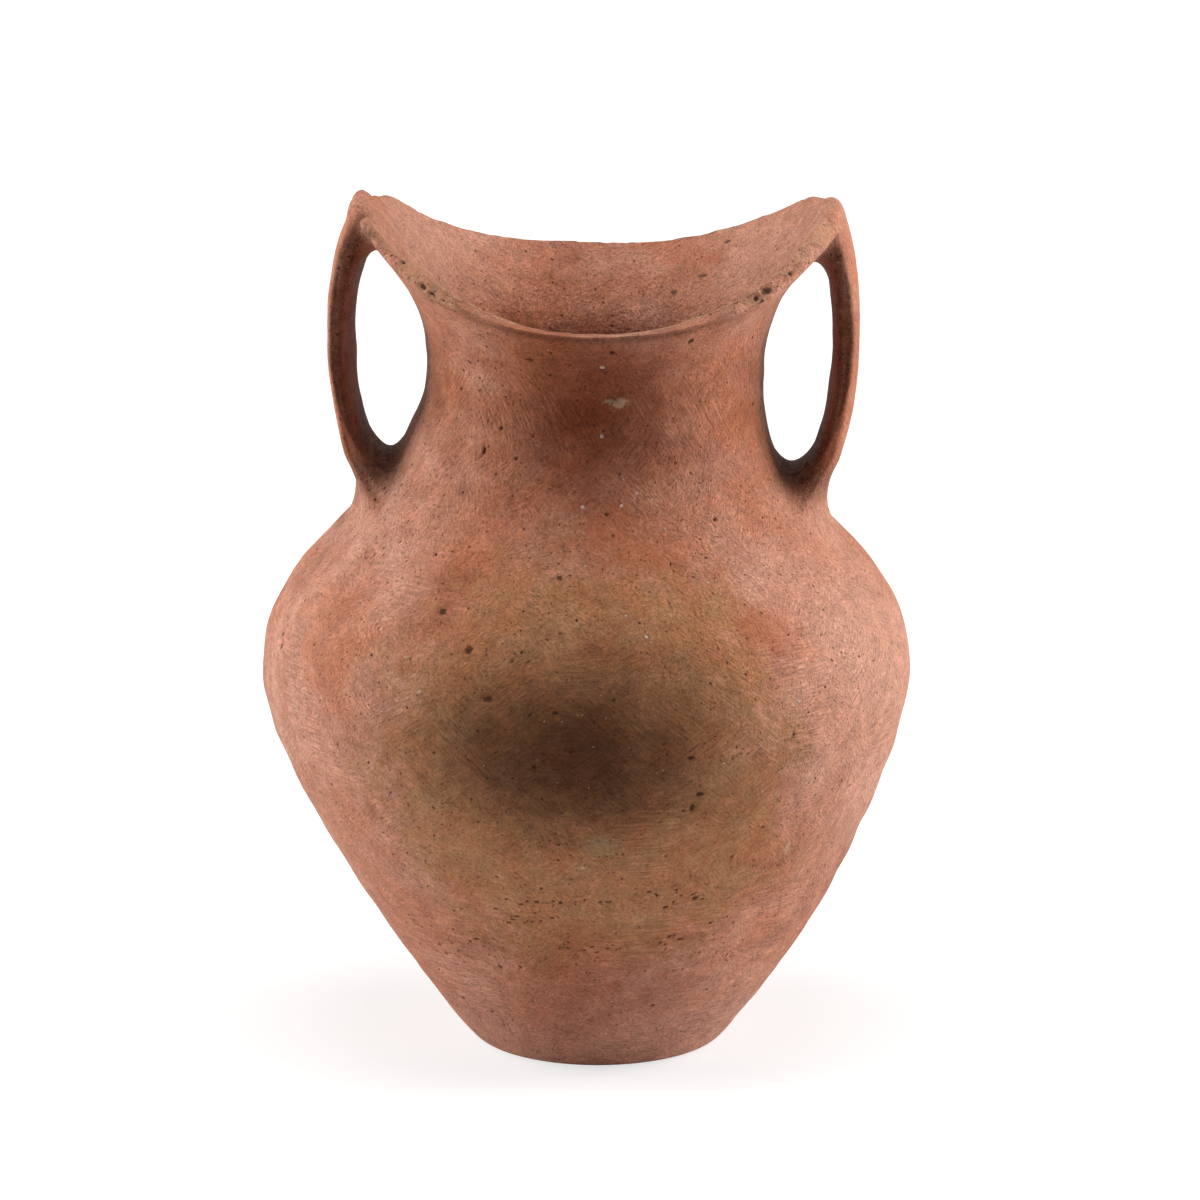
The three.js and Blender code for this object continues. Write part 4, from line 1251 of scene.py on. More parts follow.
def clay_material(name, finish, smoothing):
    """Burnished clay: fired colours, strokes, pores, wear and soiling, with painted shade and painted highlights."""
    material, nodes, shader, place = new_material(name)
    tints = {label: tuple(getattr(finish, label)) for label in JarClayFinish.__annotations__}
    mottle = nodes.use(shared("clay_mottle", mottle_group), {"Vector": place})
    grain = mottle["Grain"]
    strokes = nodes.use(shared("burnish_strokes", burnish_group), {
        "Vector": place, "Twist": smoothing.twist, "Width": smoothing.width, "Length": smoothing.length})["Strokes"]

    def opened(kind):
        return nodes.use(shared("clay_pores", pores_group), {
            "Vector": nodes.vector("ADD", place, kind.shift), "Scale": kind.scale, "Size": kind.size,
            "Rarity": kind.rarity})["Pores"]

    def torn_look(label, texture, raggedness, low, high):
        return nodes.ease(nodes.roughen(nodes.look(label), texture, raggedness), low, high)

    specks = opened(SPECKS)
    relief = nodes.noise(place, *RELIEF)
    # The bare look also carries the painted highlight on the lip's inner rim
    torn = torn_look("bare", grain, 0.8, 0.28, 0.62)

    # Fired colours
    colour = nodes.blend(mottle["Broad"], tints["clay"], tints["pale"])
    colour = nodes.lay(colour, mottle["Small"], 0.40, tints["red"])
    colour = nodes.lay(colour, nodes.ease(nodes.noise(place, *BROWNED), 0.50, 0.74), 0.50, tints["brown"])
    colour = nodes.lay(colour, nodes.ease(nodes.noise(place, *BLOOMED), 0.52, 0.72), 0.55, tints["bloom"])
    colour = nodes.blend(smoothing.redness, colour, tints["red"])
    if smoothing.smoked:
        colour = fire_colours(nodes, place, colour, tints, mottle)
    tone = 1.0
    for texture, dark, bright in ((strokes, 0.79, 1.19), (grain, 0.81, 1.15), (relief, 0.90, 1.08),
                                  (nodes.noise(place, *CLOUDED), 0.85, 1.10)):
        tone = nodes.math("MULTIPLY", tone, nodes.ease(texture, *MIDDLE, dark, bright))
    colour = nodes.blend(1.0, colour, nodes.combine(tone, tone, tone), "MULTIPLY")

    # Wear, deposits and dirt, with painted shade and painted highlights
    colour = nodes.lay(colour, nodes.look("rub"), 0.52, tints["red"])
    sand = nodes.blend(nodes.ease(nodes.noise(place, *SANDY), 0.30, 0.60), tints["clay"], tints["sandy"])
    colour = nodes.lay(colour, torn, 0.75, sand)
    colour = nodes.blend(torn_look("slate", relief, 1.2, 0.35, 0.75), colour, tints["slate"])
    # Lime deposits, and the painted highlight line along the lip's inner edge
    colour = nodes.lay(colour, torn_look("lime_and_highlight", grain, 1.2, 0.30, 0.95), 0.40, tints["lime_and_highlight"])
    # Dirt, and painted shade in the handles' corners, in the hollow under the lip and on the straps' inner faces
    soot_shade_strength = nodes.ease(nodes.noise(place, *SOOT_SHADE_NOISE), 0.34, 0.66, 0.72, 0.94)
    colour = nodes.lay(colour, nodes.look("soot_and_shade"), soot_shade_strength, tints["soot_and_shade"])
    colour = nodes.lay(colour, specks, SPECKS.strength, tints["sandy"])
    holes = nodes.math("MULTIPLY", torn_look("hollow", grain, 1.8, 0.42, 0.80), PORES.strength)
    for kind in (PORES, PINHOLES):
        holes = nodes.math("MAXIMUM", holes, nodes.math("MULTIPLY", opened(kind), kind.strength))
    nodes.put(shader.inputs["Base Color"], nodes.blend(holes, colour, tints["soot_and_shade"]))

    # Gloss and fine relief
    dull = nodes.ease(strokes, 0.25, 0.75, 0.72, 0.54)
    dull = nodes.math("MULTIPLY_ADD", torn, 0.22, dull)
    dull = nodes.math("MULTIPLY_ADD", mottle["Small"], 0.06, dull)
    nodes.put(shader.inputs["Roughness"], dull)
    shader.inputs["Specular IOR Level"].default_value = 0.14
    crumbs = nodes.math("MULTIPLY", nodes.noise(place, *CRUMBLY), torn)
    height = 0.0
    for texture, share in ((strokes, 0.70), (grain, 0.62), (relief, 0.80), (nodes.noise(place, *DENTS), 0.85),
                           (holes, -0.85), (specks, 0.16), (crumbs, 0.9)):
        height = nodes.math("MULTIPLY_ADD", texture, share, height)
    bump = nodes.add("ShaderNodeBump", {"Height": height, "Strength": 1.0, "Distance": MM})
    nodes.put(shader.inputs["Normal"], bump.outputs[0])
    return material


def fire_colours(nodes, place, colour, tints, mottle):
    """Fire marks: the smoked lens on the belly, its ochre halo and the browned neck, whose front is partly painted
    shade, places of wear, and painted light on the foot and, in part, on the right shoulder.
    """
    halo = nodes.blend(nodes.math("MULTIPLY", mottle["Small"], HALO_RED), tints["ochre"], tints["red"])
    up = nodes.apart(place)[2]
    for mark in FIRE_MARKS:
        if isinstance(mark, FireBand):
            mask = nodes.ease(up, mark.start, mark.full)
        else:
            mask = nodes.use(shared("clay_patch", patch_group), {
                "Vector": place, "Centre": mark.centre, "Reach": mark.reach, "Core": mark.core, "Edge": mark.edge,
                "Ragged": mark.ragged})["Patch"]
        colour = nodes.lay(colour, mask, mark.strength, halo if mark.tint == "halo" else tints[mark.tint])
    return colour


def wall_clay(context):
    return shared("burnished_wall_clay", lambda name: clay_material(
        name, jar_settings(context).finish, WALL_SMOOTHING))


def slab_clay(context):
    return shared("smoothed_slab_clay", lambda name: clay_material(
        name, jar_settings(context).finish, SLAB_SMOOTHING))


def grain_mineral(name):
    """Pale mineral grains."""
    material, nodes, shader, place = new_material(name)
    tone = nodes.ease(nodes.noise(place, *GRAIN_TONE), 0.35, 0.65)
    nodes.put(shader.inputs["Base Color"], nodes.blend(tone, GRAIN_LIGHT, GRAIN_DARK))
    nodes.put(shader.inputs["Roughness"], nodes.ease(nodes.noise(place, *GRAIN_GLOSS), *MIDDLE, 0.6, 0.85))
    return material


# Pieces

SLAB_COLUMNS, UNDER_ROWS, SIDE_ROWS, TOP_ROWS = 180, 26, 8, 30
LIFT, STILL_EDGE, TOUCH = 0.2 * MM, 5 * MM, 0.01 * MM
UNDER_BARE = 0.35
SLAB_MARGIN = 1.04


def flat_map(mesh, points, middle):
    """Lays the slab's two faces side by side as a map of its own."""
    place = points[loop_points(mesh)]
    reach = np.abs(points[:, :2]).max() * SLAB_MARGIN
    starts, totals = (np.zeros(len(mesh.polygons), np.int32) for _ in range(2))
    mesh.polygons.foreach_get("loop_start", starts)
    mesh.polygons.foreach_get("loop_total", totals)
    height = np.add.reduceat(place[:, 2], starts) / totals
    above = np.repeat(height > middle, totals)
    across = (place[:, 0] / reach + 1) / 4 + np.where(above, 0.5, 0)
    up = (place[:, 1] / reach + 1) / 4 + 0.25
    lay_map(mesh, across, up)


class POTTERYJAR_OT_base_slab(bpy.types.Operator):
    """Make the clay disc that closes the foot of the jar"""
    bl_idname = "pottery_jar.base_slab"
    bl_label = "Base slab"

    def execute(self, context):
        jar, skin = jar_settings(context), jar_skin(context)
        lift, thick = LIFT, jar.body.slab
        low, high = (skin.seat_radius + height * skin.seat_run for height in (lift, thick))
        section = [(low * part, 0, lift) for part in np.linspace(0, 1, UNDER_ROWS)]
        section += [(mix(low, high, part), 0, mix(lift, thick, part))
                    for part in np.linspace(0, 1, SIDE_ROWS)[1:]]
        section += [(high * part, 0, thick) for part in np.linspace(1, 0, TOP_ROWS)[1:]]
        mesh = grow(context, point_mesh("section", section), shared("turned_ring", turned_ring_tree), {
            "Columns": SLAB_COLUMNS, "Rows": len(section), "Loop": 0, "Clay": slab_clay(context)})
        points = np.array([vertex.co for vertex in mesh.vertices])
        radius = np.hypot(points[:, 0], points[:, 1])
        inside = points[:, 2] > thick - TOUCH
        dents = layers(points, SLAB_LUMPS) * MM * (1 - smooth(radius, high - STILL_EDGE, high))
        points[:, 2] += np.where(inside, dents, 0)
        under = points[:, 2] < lift + TOUCH
        points[:, 2] += np.where(under, np.abs(layers(points, UNDERSIDE_LUMPS)) * MM, 0)
        move_to(mesh, points)
        write_looks(mesh, {"bare": np.where(under, UNDER_BARE, 0)})
        flat_map(mesh, points, thick / 2)
        finish_piece(context, "foot_slab", mesh, ("base_slab",))
        return {"FINISHED"}


ZONES = (("foot_wall", 0, 2), ("lower_wall", 2, 5), ("belly_wall", 5, 8), ("shoulder_wall", 8, 11),
         ("neck_wall", 11, 13))
INNER_WEIGHT = 0.4


class POTTERYJAR_OT_coil_walls(bpy.types.Operator):
    """Make the coil-built wall: foot, lower wall, belly, shoulder and neck"""
    bl_idname = "pottery_jar.coil_walls"
    bl_label = "Coil walls"

    def execute(self, context):
        skin = jar_skin(context)
        for name, first, last in ZONES:
            outer = np.arange(skin.outer_joints[first], skin.outer_joints[last] + 1)
            finish = len(skin.sheet) - 1 if first == 0 else skin.inner_joints[first]
            inner = np.arange(skin.inner_joints[last], finish + 1)
            nodes = tuple(f"wall_coil_{coil + 1:02d}" for coil in range(first, last))
            ring_piece(context, name, np.concatenate((outer, inner)), wall_clay(context),
                       nodes, INNER_WEIGHT)
        return {"FINISHED"}


class POTTERYJAR_OT_saddle_mouth(bpy.types.Operator):
    """Make the last coil, drawn up into the saddle-shaped mouth"""
    bl_idname = "pottery_jar.saddle_mouth"
    bl_label = "Saddle mouth"

    def execute(self, context):
        skin = jar_skin(context)
        coils = jar_settings(context).body.coils
        rows = np.arange(skin.outer_joints[coils], skin.inner_joints[coils] + 1)
        ring_piece(context, "saddle_mouth", rows, wall_clay(context), ("saddle_rim",), 1.0)
        return {"FINISHED"}


# Angle round the strap's section, and the way across it from the outer face at 0 to the inner one at 1
STRAP_TURN = np.arange(STRAP_SIDES) / STRAP_SIDES * FULL_TURN
STRAP_INNER = (1 + np.cos(STRAP_TURN)) / 2
# Bands across the section
WEB_INSIDE, LIP_OUTSIDE, CALM_OUTSIDE = (0.3, 0.9), (0.34, 0.62), (0.22, 0.32)
GROOVE_PLACE, GROOVE_WIDTH, GROOVE_BASE = 0.50, 0.12, 0.75
# Rows of the strap, counted from the lip, and from each end
CALM_ROWS, GROOVE_ROWS, STILL_ROWS = (22, 40), (24, 40), (2, 14)
END_POWER = 2.6
# How the outer face goes over the lip: its part of the strap's width, its landing and its crest
LIP_WIDTH, LANDING_PULL, LEAST_BELL, CREST_ROWS = 0.94, 1.15, 0.45, 3
ENDS_FALL, ENDS_BAND = 0.6, (0.75, 1.0)
UNDER_TOP, END_DEPTH, WELD = 0.7 * MM, 3 * MM, 1e-7
# Painted shade and dirt, a painted sheen, and wear: bands along the strap from the lip at 0 to the shoulder at 1,
# and across its section
CLEAN_TOP, CLEAN_BAND, CLEAN_RUN = 0.10, (0.35, 0.58), 0.08
SHADE_DIRT_START, SHADE_DIRT_SHIFT, SHADE_DIRT_WIDTH = (0.22, 0.64), (0.50, 0.78), 0.16
SHEEN, SHEEN_BAND, SHEEN_STOP = 0.42, (0.66, 0.82), (0.62, 0.80)
SHADE_DIRT_BASE, SHADE_DIRT_RISE, SHADE_DIRT_STOP = 0.85, (0.62, 0.85), (0.76, 0.92)
TORN, TORN_STOP, TORN_PLACE, TORN_WIDTH = 0.7, (0.04, 0.13), 0.40, 0.14
RED, RED_STOP = 0.5, (0.80, 0.95)
STRAP_MARGIN = 0.01


def sweep_strap(context, handle, name, side):
    """The plain strap along its bowed path."""
    line = bezier([getattr(handle, f"{name}_{point}") for point in
                   ("top_root", "upper_bow", "lower_bow", "foot_root")], STRAP_ROWS - 2 * ROOT_ROWS)
    run = np.arange(1, ROOT_ROWS + 1)[:, None] * ROOT_STEP
    line = np.concatenate(((line[0] + unit(line[0] - line[1]) * run)[::-1], line,
                           line[-1] + unit(line[-1] - line[-2]) * run))
    slopes = unit(np.gradient(line, axis=0))
    part = np.linspace(0, 1, STRAP_ROWS)
    ends = np.abs(2 * part - 1) ** END_POWER

    def along(waist, at_top, at_foot):
        return mix(waist, np.where(part < 0.5, at_top, at_foot), ends)

    width = along(handle.waist_width, handle.top_width, handle.foot_width) / 2
    thick = along(getattr(handle, f"{name}_thickness"), handle.top_thickness, handle.foot_thickness) / 2
    level = np.zeros(STRAP_ROWS)
    inward = np.stack((slopes[:, 1] * side, level, -slopes[:, 0]), axis=-1)
    across = np.array((math.tan(getattr(handle, f"{name}_yaw")), 1, 0))
    source = point_mesh("path", np.stack((line[:, 0] * side, level, line[:, 1]), axis=-1).tolist())
    for label, vectors in (("half_thickness", inward * thick[:, None]), ("half_width", across * width[:, None])):
        layer = source.attributes.new(label, "FLOAT_VECTOR", "POINT")
        layer.data.foreach_set("vector", np.ascontiguousarray(vectors, np.float32).ravel())
    return grow(context, source, shared("swept_strap", strap_tree), {
        "Rows": STRAP_ROWS, "Sides": STRAP_SIDES, "Squareness": handle.squareness,
        "Edge shift": handle.edge_shift, "Clay": wall_clay(context)})


def work_in(mesh, handle, skin, name, hand):
    """Webs the strap into the wall at both roots and gives it its hand-made surface."""
    row, side = read(mesh, "row"), read(mesh, "side")
    rails = np.zeros((STRAP_ROWS, STRAP_SIDES, 3))
    rails[row, side] = np.array([vertex.co for vertex in mesh.vertices])
    outside = skin.outer_reach(rails)[0]
    middle = STRAP_ROWS // 2
    inside = smooth(STRAP_INNER, *WEB_INSIDE)
    top_legs = mix(handle.ridge_web, getattr(handle, f"{name}_top_web"), inside)
    foot_legs = mix(handle.outer_web, handle.foot_web, inside)
    upward, downward = rails[middle::-1], rails[middle:]
    starts, top_webs = root(upward, outside[middle::-1], top_legs, skin)
    ends, foot_webs = root(downward, outside[middle:], foot_legs, skin)
    ridge = getattr(handle, f"{name}_ridge")
    over_lip(upward, starts, top_webs, handle, ridge, skin, hand, 1 - smooth(STRAP_INNER, *LIP_OUTSIDE))
    worked = np.zeros_like(rails)
    for line in range(STRAP_SIDES):
        upper = upward[:starts[line], line][::-1]
        lower = downward[1:ends[line], line]
        path = np.concatenate((top_webs[line][::-1], upper, lower, foot_webs[line]))
        worked[1:-1, line] = even(path, STRAP_ROWS - 2)
    worked = calm_ridge(worked)
    worked += unevenness(worked, handle.groove)
    for end, beside in ((0, 1), (-1, -2)):
        centre = worked[beside].mean(axis=0, keepdims=True)
        _, face, turn, _ = skin.outer_reach(centre)
        worked[end] = skin.on_face(centre[:, 2], turn, face - END_DEPTH)
    move_to(mesh, worked[row, side])
    strap_dirt_and_shade(mesh, worked, row, side, skin)
    map_strap(mesh, row, side)
    welded = bmesh.new()
    welded.from_mesh(mesh)
    bmesh.ops.remove_doubles(welded, verts=welded.verts, dist=WELD)
    welded.to_mesh(mesh)
    welded.free()


def calm_ridge(worked):
    """Evens out the lines of the outer face where they go over the lip."""
    reach = np.arange(-RIDGE_LINES, RIDGE_LINES + 1)
    weights = (RIDGE_LINES + 1 - np.abs(reach)) / (RIDGE_LINES + 1) ** 2
    calmed = sum(np.roll(worked, step, axis=1) * weight for step, weight in zip(reach, weights))
    calm = (1 - smooth(np.arange(STRAP_ROWS), *CALM_ROWS))[:, None]
    calm = calm * (1 - smooth(STRAP_INNER, *CALM_OUTSIDE))
    return mix(worked, calmed, calm[..., None])


def unevenness(worked, depth):
    """Moves of the strap's points: hand-made lumps and the groove along its edges."""
    rows = np.arange(STRAP_ROWS)
    around = np.roll(worked, -1, axis=1) - np.roll(worked, 1, axis=1)
    normals = unit(np.cross(np.gradient(worked, axis=0), around))
    waist = slice(STRAP_ROWS // 2 - ROOT_ROWS, STRAP_ROWS // 2 + ROOT_ROWS)
    outward = worked[waist] - worked[waist].mean(1, keepdims=True)
    normals *= np.sign(np.einsum("rsi,rsi->", normals[waist], outward))
    uneven = layers(worked, STRAP_LUMPS) * MM
    groove = bell(STRAP_INNER - GROOVE_PLACE, GROOVE_WIDTH)
    groove = groove * (GROOVE_BASE + layers(worked, GROOVE_LUMPS))
    uneven -= groove * depth * smooth(rows, *GROOVE_ROWS)[:, None]
    hold = smooth(np.minimum(rows, rows[::-1]), *STILL_ROWS)
    return normals * (uneven * hold[:, None])[..., None]


def lip_line(skin, row, hand, along):
    """Points and normals of a row of the mouth's skin at places along the strap's width."""
    points, normals = skin.points[row], skin.normals[row]
    half = np.nonzero(points[:, 0] * hand > 0)[0]
    half = half[np.argsort(points[half, 1])]
    return (np.stack([np.interp(along, points[half, 1], values[half, axis]) for axis in range(3)], axis=-1)
            for values in (points, normals))


def over_lip(rails, stops, webs, handle, ridge, skin, hand, over):
    """Carries the strap's outer face over the lip and a little way down into the mouth."""
    along = rails[-1, :, 1] * LIP_WIDTH
    first = np.nonzero(skin.sheet == INNER)[0][0]
    edge, _ = lip_line(skin, first, hand, along)
    _, crest = lip_line(skin, first - CREST_ROWS, hand, along)
    land, deep = lip_line(skin, first + MOUTH_ROWS, hand, along)
    land = land - deep * SINK
    rise = ridge * (1 - ENDS_FALL * smooth(np.abs(np.sin(STRAP_TURN)), *ENDS_BAND))
    part = np.linspace(0, 1, 2 * WEB_STEPS)
    hump = 3 * part * (1 - part)
    for line in np.nonzero(over > 0)[0]:
        rail = rails[:, line]
        gap = np.linalg.norm(rail - edge[line], axis=1)
        near = np.nonzero(gap < handle.ridge_run)[0]
        stop = min(stops[line], near[0] - 1 if len(near) else int(np.argmin(gap)))
        heading = unit(rail[stop + 1] - rail[stop])
        fall = land[line] - edge[line]
        curve = bezier((rail[stop], rail[stop] + heading * gap[stop] * handle.ridge_full,
                        land[line] - fall * LANDING_PULL, land[line]), len(part))
        ride = (curve - edge[line]) @ crest[line]
        high = np.argmax(ride)
        lift = max(rise[line] - ride[high], 0) / max(hump[high], LEAST_BELL)
        curve = curve + crest[line] * (lift * hump)[:, None]
        under = even(np.concatenate((rail[stop:stops[line]], webs[line])), len(part))
        webs[line] = mix(under, even(curve, len(part)), over[line])
        stops[line] = stop


def root(rails, outside, webs, skin):
    """Where each line of the strap leaves off, counted from the waist, and the web from there to the wall."""
    corners = np.zeros((STRAP_SIDES, 3))
    places = np.zeros(STRAP_SIDES)
    for line in range(STRAP_SIDES):
        reach = outside[:, line]
        within = np.nonzero(reach <= 0)[0]
        if not len(within):
            raise RuntimeError("a strap doesn't reach the wall")
        last = within[0]
        part = reach[last - 1] / (reach[last - 1] - reach[last])
        corners[line] = mix(rails[last - 1, line], rails[last, line], part)
        places[line] = last - 1 + part
    landing = corners + unit(corners - corners.mean(axis=0)) * webs[:, None]
    _, _, _, top = skin.outer_reach(landing)
    landing[:, 2] = np.minimum(landing[:, 2], top - UNDER_TOP)
    _, face, turn, _ = skin.outer_reach(landing)
    landing = skin.on_face(landing[:, 2], turn, face - SINK)
    stops, curves = [], []
    part = np.linspace(0, 1, WEB_STEPS)[:, None]
    for line in range(STRAP_SIDES):
        rail = rails[:, line]
        back = np.linalg.norm(rail - corners[line], axis=1)
        allowed = np.nonzero((back >= webs[line]) & (np.arange(len(rail)) < places[line]))[0]
        stop = allowed[-1] if len(allowed) else 1
        stops.append(stop)
        curves.append((1 - part) ** 2 * rail[stop] + 2 * part * (1 - part) * corners[line]
                      + part ** 2 * landing[line])
    return stops, curves


def strap_dirt_and_shade(mesh, worked, row, side, skin):
    """Dirt and painted shade on the inner face, lightened by a painted sheen near its inner edge; torn clay beside the
    lip, and red clay where rubbing has marked the strap.
    """
    part = row / STRAP_ROWS
    inner = STRAP_INNER[side]
    start = mix(CLEAN_TOP, 0.0, smooth(inner, *CLEAN_BAND))
    away = smooth(part, start, start + CLEAN_RUN)
    # Painted shade, with some dirt: a dark band on the inner face, which turns from the lamps towards the neck
    rise = mix(*SHADE_DIRT_START, smooth(part, *SHADE_DIRT_SHIFT))
    band = smooth(inner, rise, rise + SHADE_DIRT_WIDTH)
    # Painted sheen: the band is lighter where the inner face would catch a grazing reflection
    sheen = smooth(inner, *SHEEN_BAND) * (1 - smooth(part, *SHEEN_STOP))
    band = band * (1 - SHEEN * sheen)
    full = mix(SHADE_DIRT_BASE, 1.0, smooth(part, *SHADE_DIRT_RISE))
    dirt_and_shade = band * away * full * (1 - smooth(part, *SHADE_DIRT_STOP))
    dirt_and_shade = np.maximum(dirt_and_shade, skin.corner_dirt_and_shade(worked[row, side]))
    torn = (1 - smooth(part, *TORN_STOP)) * bell(inner - TORN_PLACE, TORN_WIDTH)
    write_looks(mesh, {"soot_and_shade": dirt_and_shade, "bare": TORN * torn,
                       "rub": RED * away * (1 - smooth(part, *RED_STOP))})


def map_strap(mesh, row, side):
    """Lays the strap out flat as a map of its own."""
    corners = loop_points(mesh).reshape(-1, 4)
    turn = full_round(side[corners], STRAP_SIDES)
    across = mix(STRAP_MARGIN, 1 - STRAP_MARGIN, turn / STRAP_SIDES)
    up = mix(STRAP_MARGIN, 1 - STRAP_MARGIN, row[corners] / (STRAP_ROWS - 1))
    lay_map(mesh, across, up)


class POTTERYJAR_OT_strap_handles(bpy.types.Operator):
    """Make the two strap handles, worked into the lip and the shoulder"""
    bl_idname = "pottery_jar.strap_handles"
    bl_label = "Strap handles"

    def execute(self, context):
        jar, skin = jar_settings(context), jar_skin(context)
        for name, side in HANDS:
            mesh = sweep_strap(context, jar.handle, name, side)
            work_in(mesh, jar.handle, skin, name, side)
            nodes = tuple(f"{name}_{part}" for part in ("handle", "top_wad", "foot_wad"))
            finish_piece(context, f"{name}_strap", mesh, nodes)
        return {"FINISHED"}


# Every so many rows and columns of the wall, from the first joint to just below the lip, and how deep below it
ROW_STEP, COLUMN_STEP, ROWS_CLEAR, BURIED = 3, 4, 4, 0.12 * MM
# Amount everywhere, and the places where more shows: amount, middle and reach
EVERYWHERE = 0.045
SHOWS = ((1.0, (0.003, -0.085, 0.232), (0.026, 0.05, 0.026)), (0.07, (0.0, -0.118, 0.135), (0.09, 0.06, 0.07)))


class POTTERYJAR_OT_mineral_grit(bpy.types.Operator):
    """Scatter the mineral grains that show in the clay"""
    bl_idname = "pottery_jar.mineral_grit"
    bl_label = "Mineral grit"

    def execute(self, context):
        skin = jar_skin(context)
        rows = np.arange(skin.outer_joints[1], skin.last_outer - ROWS_CLEAR, ROW_STEP)
        here = np.ix_(rows, np.arange(0, COLUMNS, COLUMN_STEP))
        points = skin.points[here] - skin.normals[here] * BURIED
        index = np.arange(points[..., 0].size).reshape(points.shape[:2])
        after = np.roll(index, -1, axis=1)
        faces = np.stack((index[:-1], after[:-1], after[1:], index[1:]), axis=-1).reshape(-1, 4)
        source = bpy.data.meshes.new("surface")
        source.from_pydata(points.reshape(-1, 3).tolist(), [], faces.tolist())
        amount = EVERYWHERE
        for more, centre, reach in SHOWS:
            amount = amount + more * near_to(points, np.array(centre), np.array(reach))
        write(source, "grit", amount.reshape(-1))
        mesh = grow(context, source, shared("scattered_grit", grit_tree), {
            "Density": 14000.0, "Smallest": 0.0003, "Largest": 0.0009, "Seed": 11,
            "Mineral": shared("grain_mineral", grain_mineral)})
        mesh.polygons.foreach_set("use_smooth", np.zeros(len(mesh.polygons), bool))
        finish_piece(context, "mineral_grit", mesh, ())
        return {"FINISHED"}


# Soft lamps: place, sides, setting that holds the power, and their share of it
LAMPS = (("left_softbox", (-1.55, 0.22, 0.62), (1.0, 1.4), "side_power", 1.0),
         ("right_softbox", (1.55, 0.22, 0.66), (1.0, 1.4), "side_power", 1.12),
         ("top_softbox", (0.0, -0.35, 1.8), (1.2, 0.9), "top_power", 1.0))
LAMP_TARGET = (0, 0, 0.17)
# The floor's paper as it lights the jar and as it is seen, and its glow from the jar outwards
PAPER_LIT, PAPER_SEEN = (0.94, 0.94, 0.94, 1), (0.40, 0.40, 0.40, 1)
GLOW_RUN, GLOW = (0.25, 1.5), (0.70, 0.95)
SENSOR, FAR_CLIP = 36, 50


def add_camera(context, stage):
    data = bpy.data.cameras.new("camera")
    data.sensor_width = SENSOR
    data.lens = data.sensor_width * stage.camera_distance / stage.frame_width
    data.clip_end = FAR_CLIP
    camera = bpy.data.objects.new("camera", data)
    context.scene.collection.objects.link(camera)
    target = Vector((stage.target_across, 0, stage.target_height))
    camera.location = target + stage.camera_distance * Vector(
        (0, -math.cos(stage.camera_height), math.sin(stage.camera_height)))
    camera.rotation_euler = (math.pi / 2 - stage.camera_height, 0, 0)
    context.scene.camera = camera


def add_floor(context, stage):
    half = stage.floor_side / 2
    mesh = bpy.data.meshes.new("floor")
    mesh.from_pydata([(-half, -half, 0), (half, -half, 0), (half, half, 0), (-half, half, 0)], [], [(0, 1, 2, 3)])
    floor = bpy.data.objects.new("floor", mesh)
    context.scene.collection.objects.link(floor)
    material, nodes, shader, place = new_material("pale_floor")
    material.node_tree.nodes.remove(shader)
    shown = nodes.shown_rays()
    paper = nodes.add("ShaderNodeBsdfDiffuse", {"Color": nodes.blend(shown, PAPER_LIT, PAPER_SEEN)})
    white = nodes.ease(nodes.vector("LENGTH", place), *GLOW_RUN, *GLOW)
    glow = nodes.add("ShaderNodeEmission", {"Strength": nodes.math("MULTIPLY", shown, white)})
    both = nodes.add("ShaderNodeAddShader", {0: paper.outputs[0], 1: glow.outputs[0]})
    nodes.put(material.node_tree.nodes["Material Output"].inputs["Surface"], both.outputs[0])
    mesh.materials.append(material)


def add_sky(context, stage):
    world = bpy.data.worlds.new("studio")
    world.use_nodes = True
    context.scene.world = world
    nodes = Nodes(world.node_tree)
    strength = nodes.add("ShaderNodeMix", {0: nodes.shown_rays(), 2: stage.sky, 3: 1.0}, data_type="FLOAT")
    background = world.node_tree.nodes["Background"]
    background.inputs["Color"].default_value = (1, 1, 1, 1)
    nodes.put(background.inputs["Strength"], strength.outputs[0])


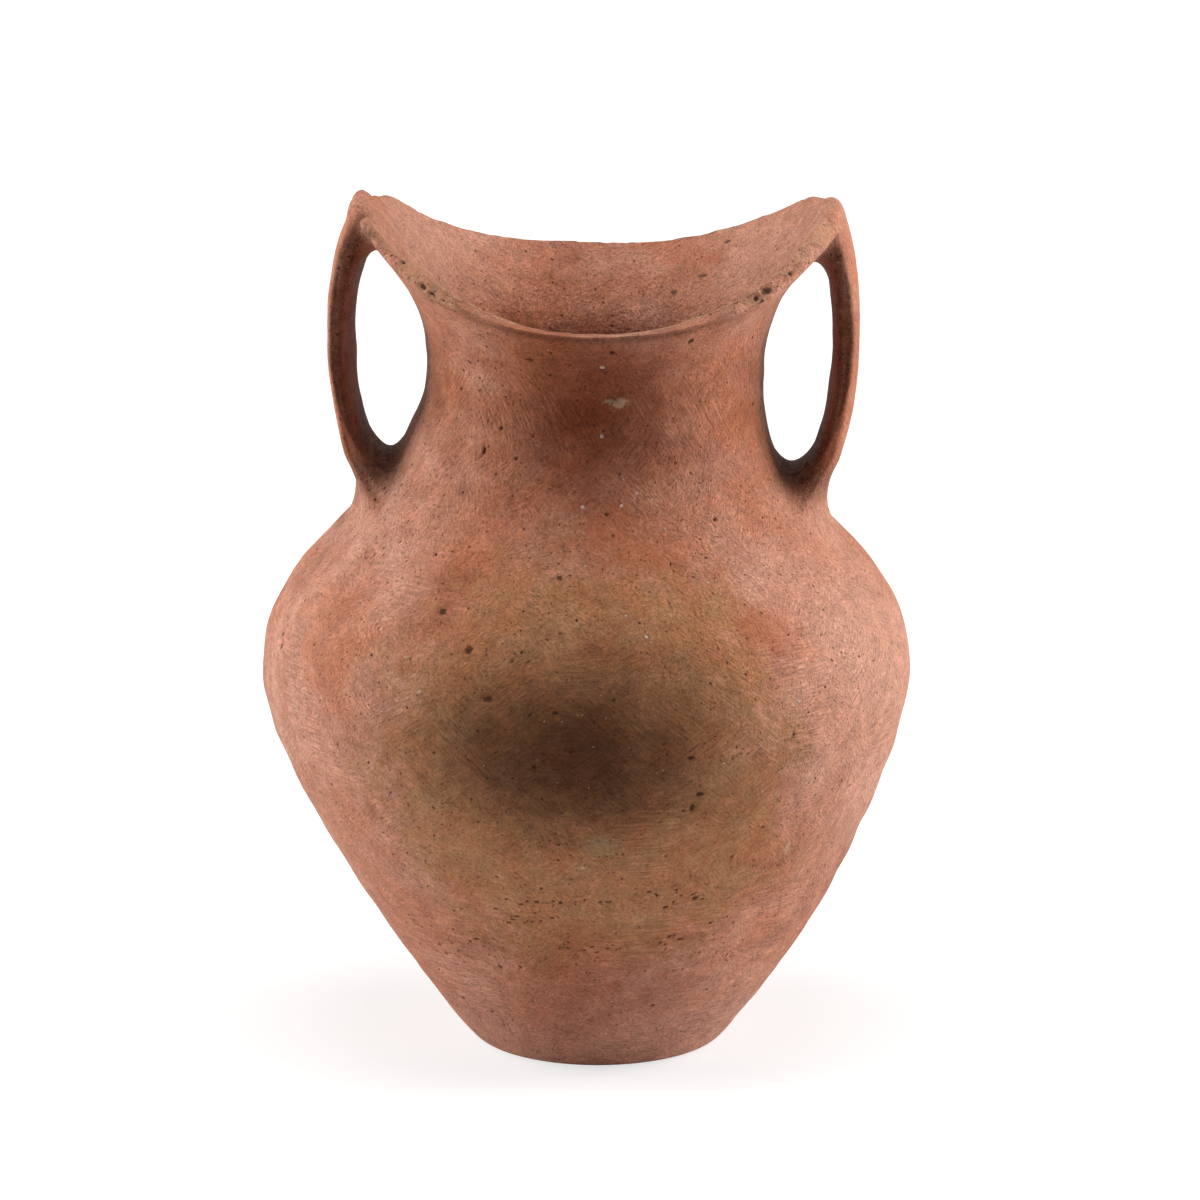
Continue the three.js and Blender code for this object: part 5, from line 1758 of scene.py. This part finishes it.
def add_lamp(context, name, place, sides, power):
    data = bpy.data.lights.new(name, "AREA")
    data.shape = "RECTANGLE"
    data.size, data.size_y = sides
    data.energy = power
    lamp = bpy.data.objects.new(name, data)
    context.scene.collection.objects.link(lamp)
    lamp.location = place
    toward = Vector(LAMP_TARGET) - Vector(place)
    lamp.rotation_euler = toward.to_track_quat("-Z", "Y").to_euler()


class POTTERYJAR_OT_stage(bpy.types.Operator):
    """Set up the pale floor, the soft lamps and the camera"""
    bl_idname = "pottery_jar.stage"
    bl_label = "Stage"

    def execute(self, context):
        stage = jar_settings(context).stage
        context.scene.view_settings.view_transform = "Standard"
        add_camera(context, stage)
        add_floor(context, stage)
        add_sky(context, stage)
        for name, place, sides, power, factor in LAMPS:
            add_lamp(context, name, place, sides, getattr(stage, power) * factor)
        return {"FINISHED"}


class POTTERYJAR_PT_panel(bpy.types.Panel):
    """Lists the jar's pieces and settings"""
    bl_idname = "POTTERYJAR_PT_panel"
    bl_label = "Pottery Jar"
    bl_space_type = "VIEW_3D"
    bl_region_type = "UI"
    bl_category = "Pottery Jar"

    def draw(self, context):
        for operator in OPERATORS:
            self.layout.operator(operator.bl_idname)
        jar = jar_settings(context)
        for group in (jar.body, jar.mouth, jar.handle, jar.finish, jar.stage):
            box = self.layout.box()
            for label in group.__annotations__:
                box.prop(group, label)


OPERATORS = (POTTERYJAR_OT_base_slab, POTTERYJAR_OT_coil_walls, POTTERYJAR_OT_saddle_mouth,
             POTTERYJAR_OT_strap_handles, POTTERYJAR_OT_mineral_grit, POTTERYJAR_OT_stage)
CLASSES = (JarBodySizes, JarMouthSizes, JarHandleSizes, JarClayFinish, JarStageSettings, PotteryJarSettings,
           *OPERATORS, POTTERYJAR_PT_panel)


def register():
    for cls in CLASSES:
        bpy.utils.register_class(cls)
    bpy.types.Scene.pottery_jar = PointerProperty(type=PotteryJarSettings)


def unregister():
    del bpy.types.Scene.pottery_jar
    for cls in reversed(CLASSES):
        bpy.utils.unregister_class(cls)


def main():
    register()
    bpy.ops.pottery_jar.stage()
    bpy.ops.pottery_jar.base_slab()
    bpy.ops.pottery_jar.coil_walls()
    bpy.ops.pottery_jar.saddle_mouth()
    bpy.ops.pottery_jar.strap_handles()
    bpy.ops.pottery_jar.mineral_grit()


if __name__ == "__main__":
    main()
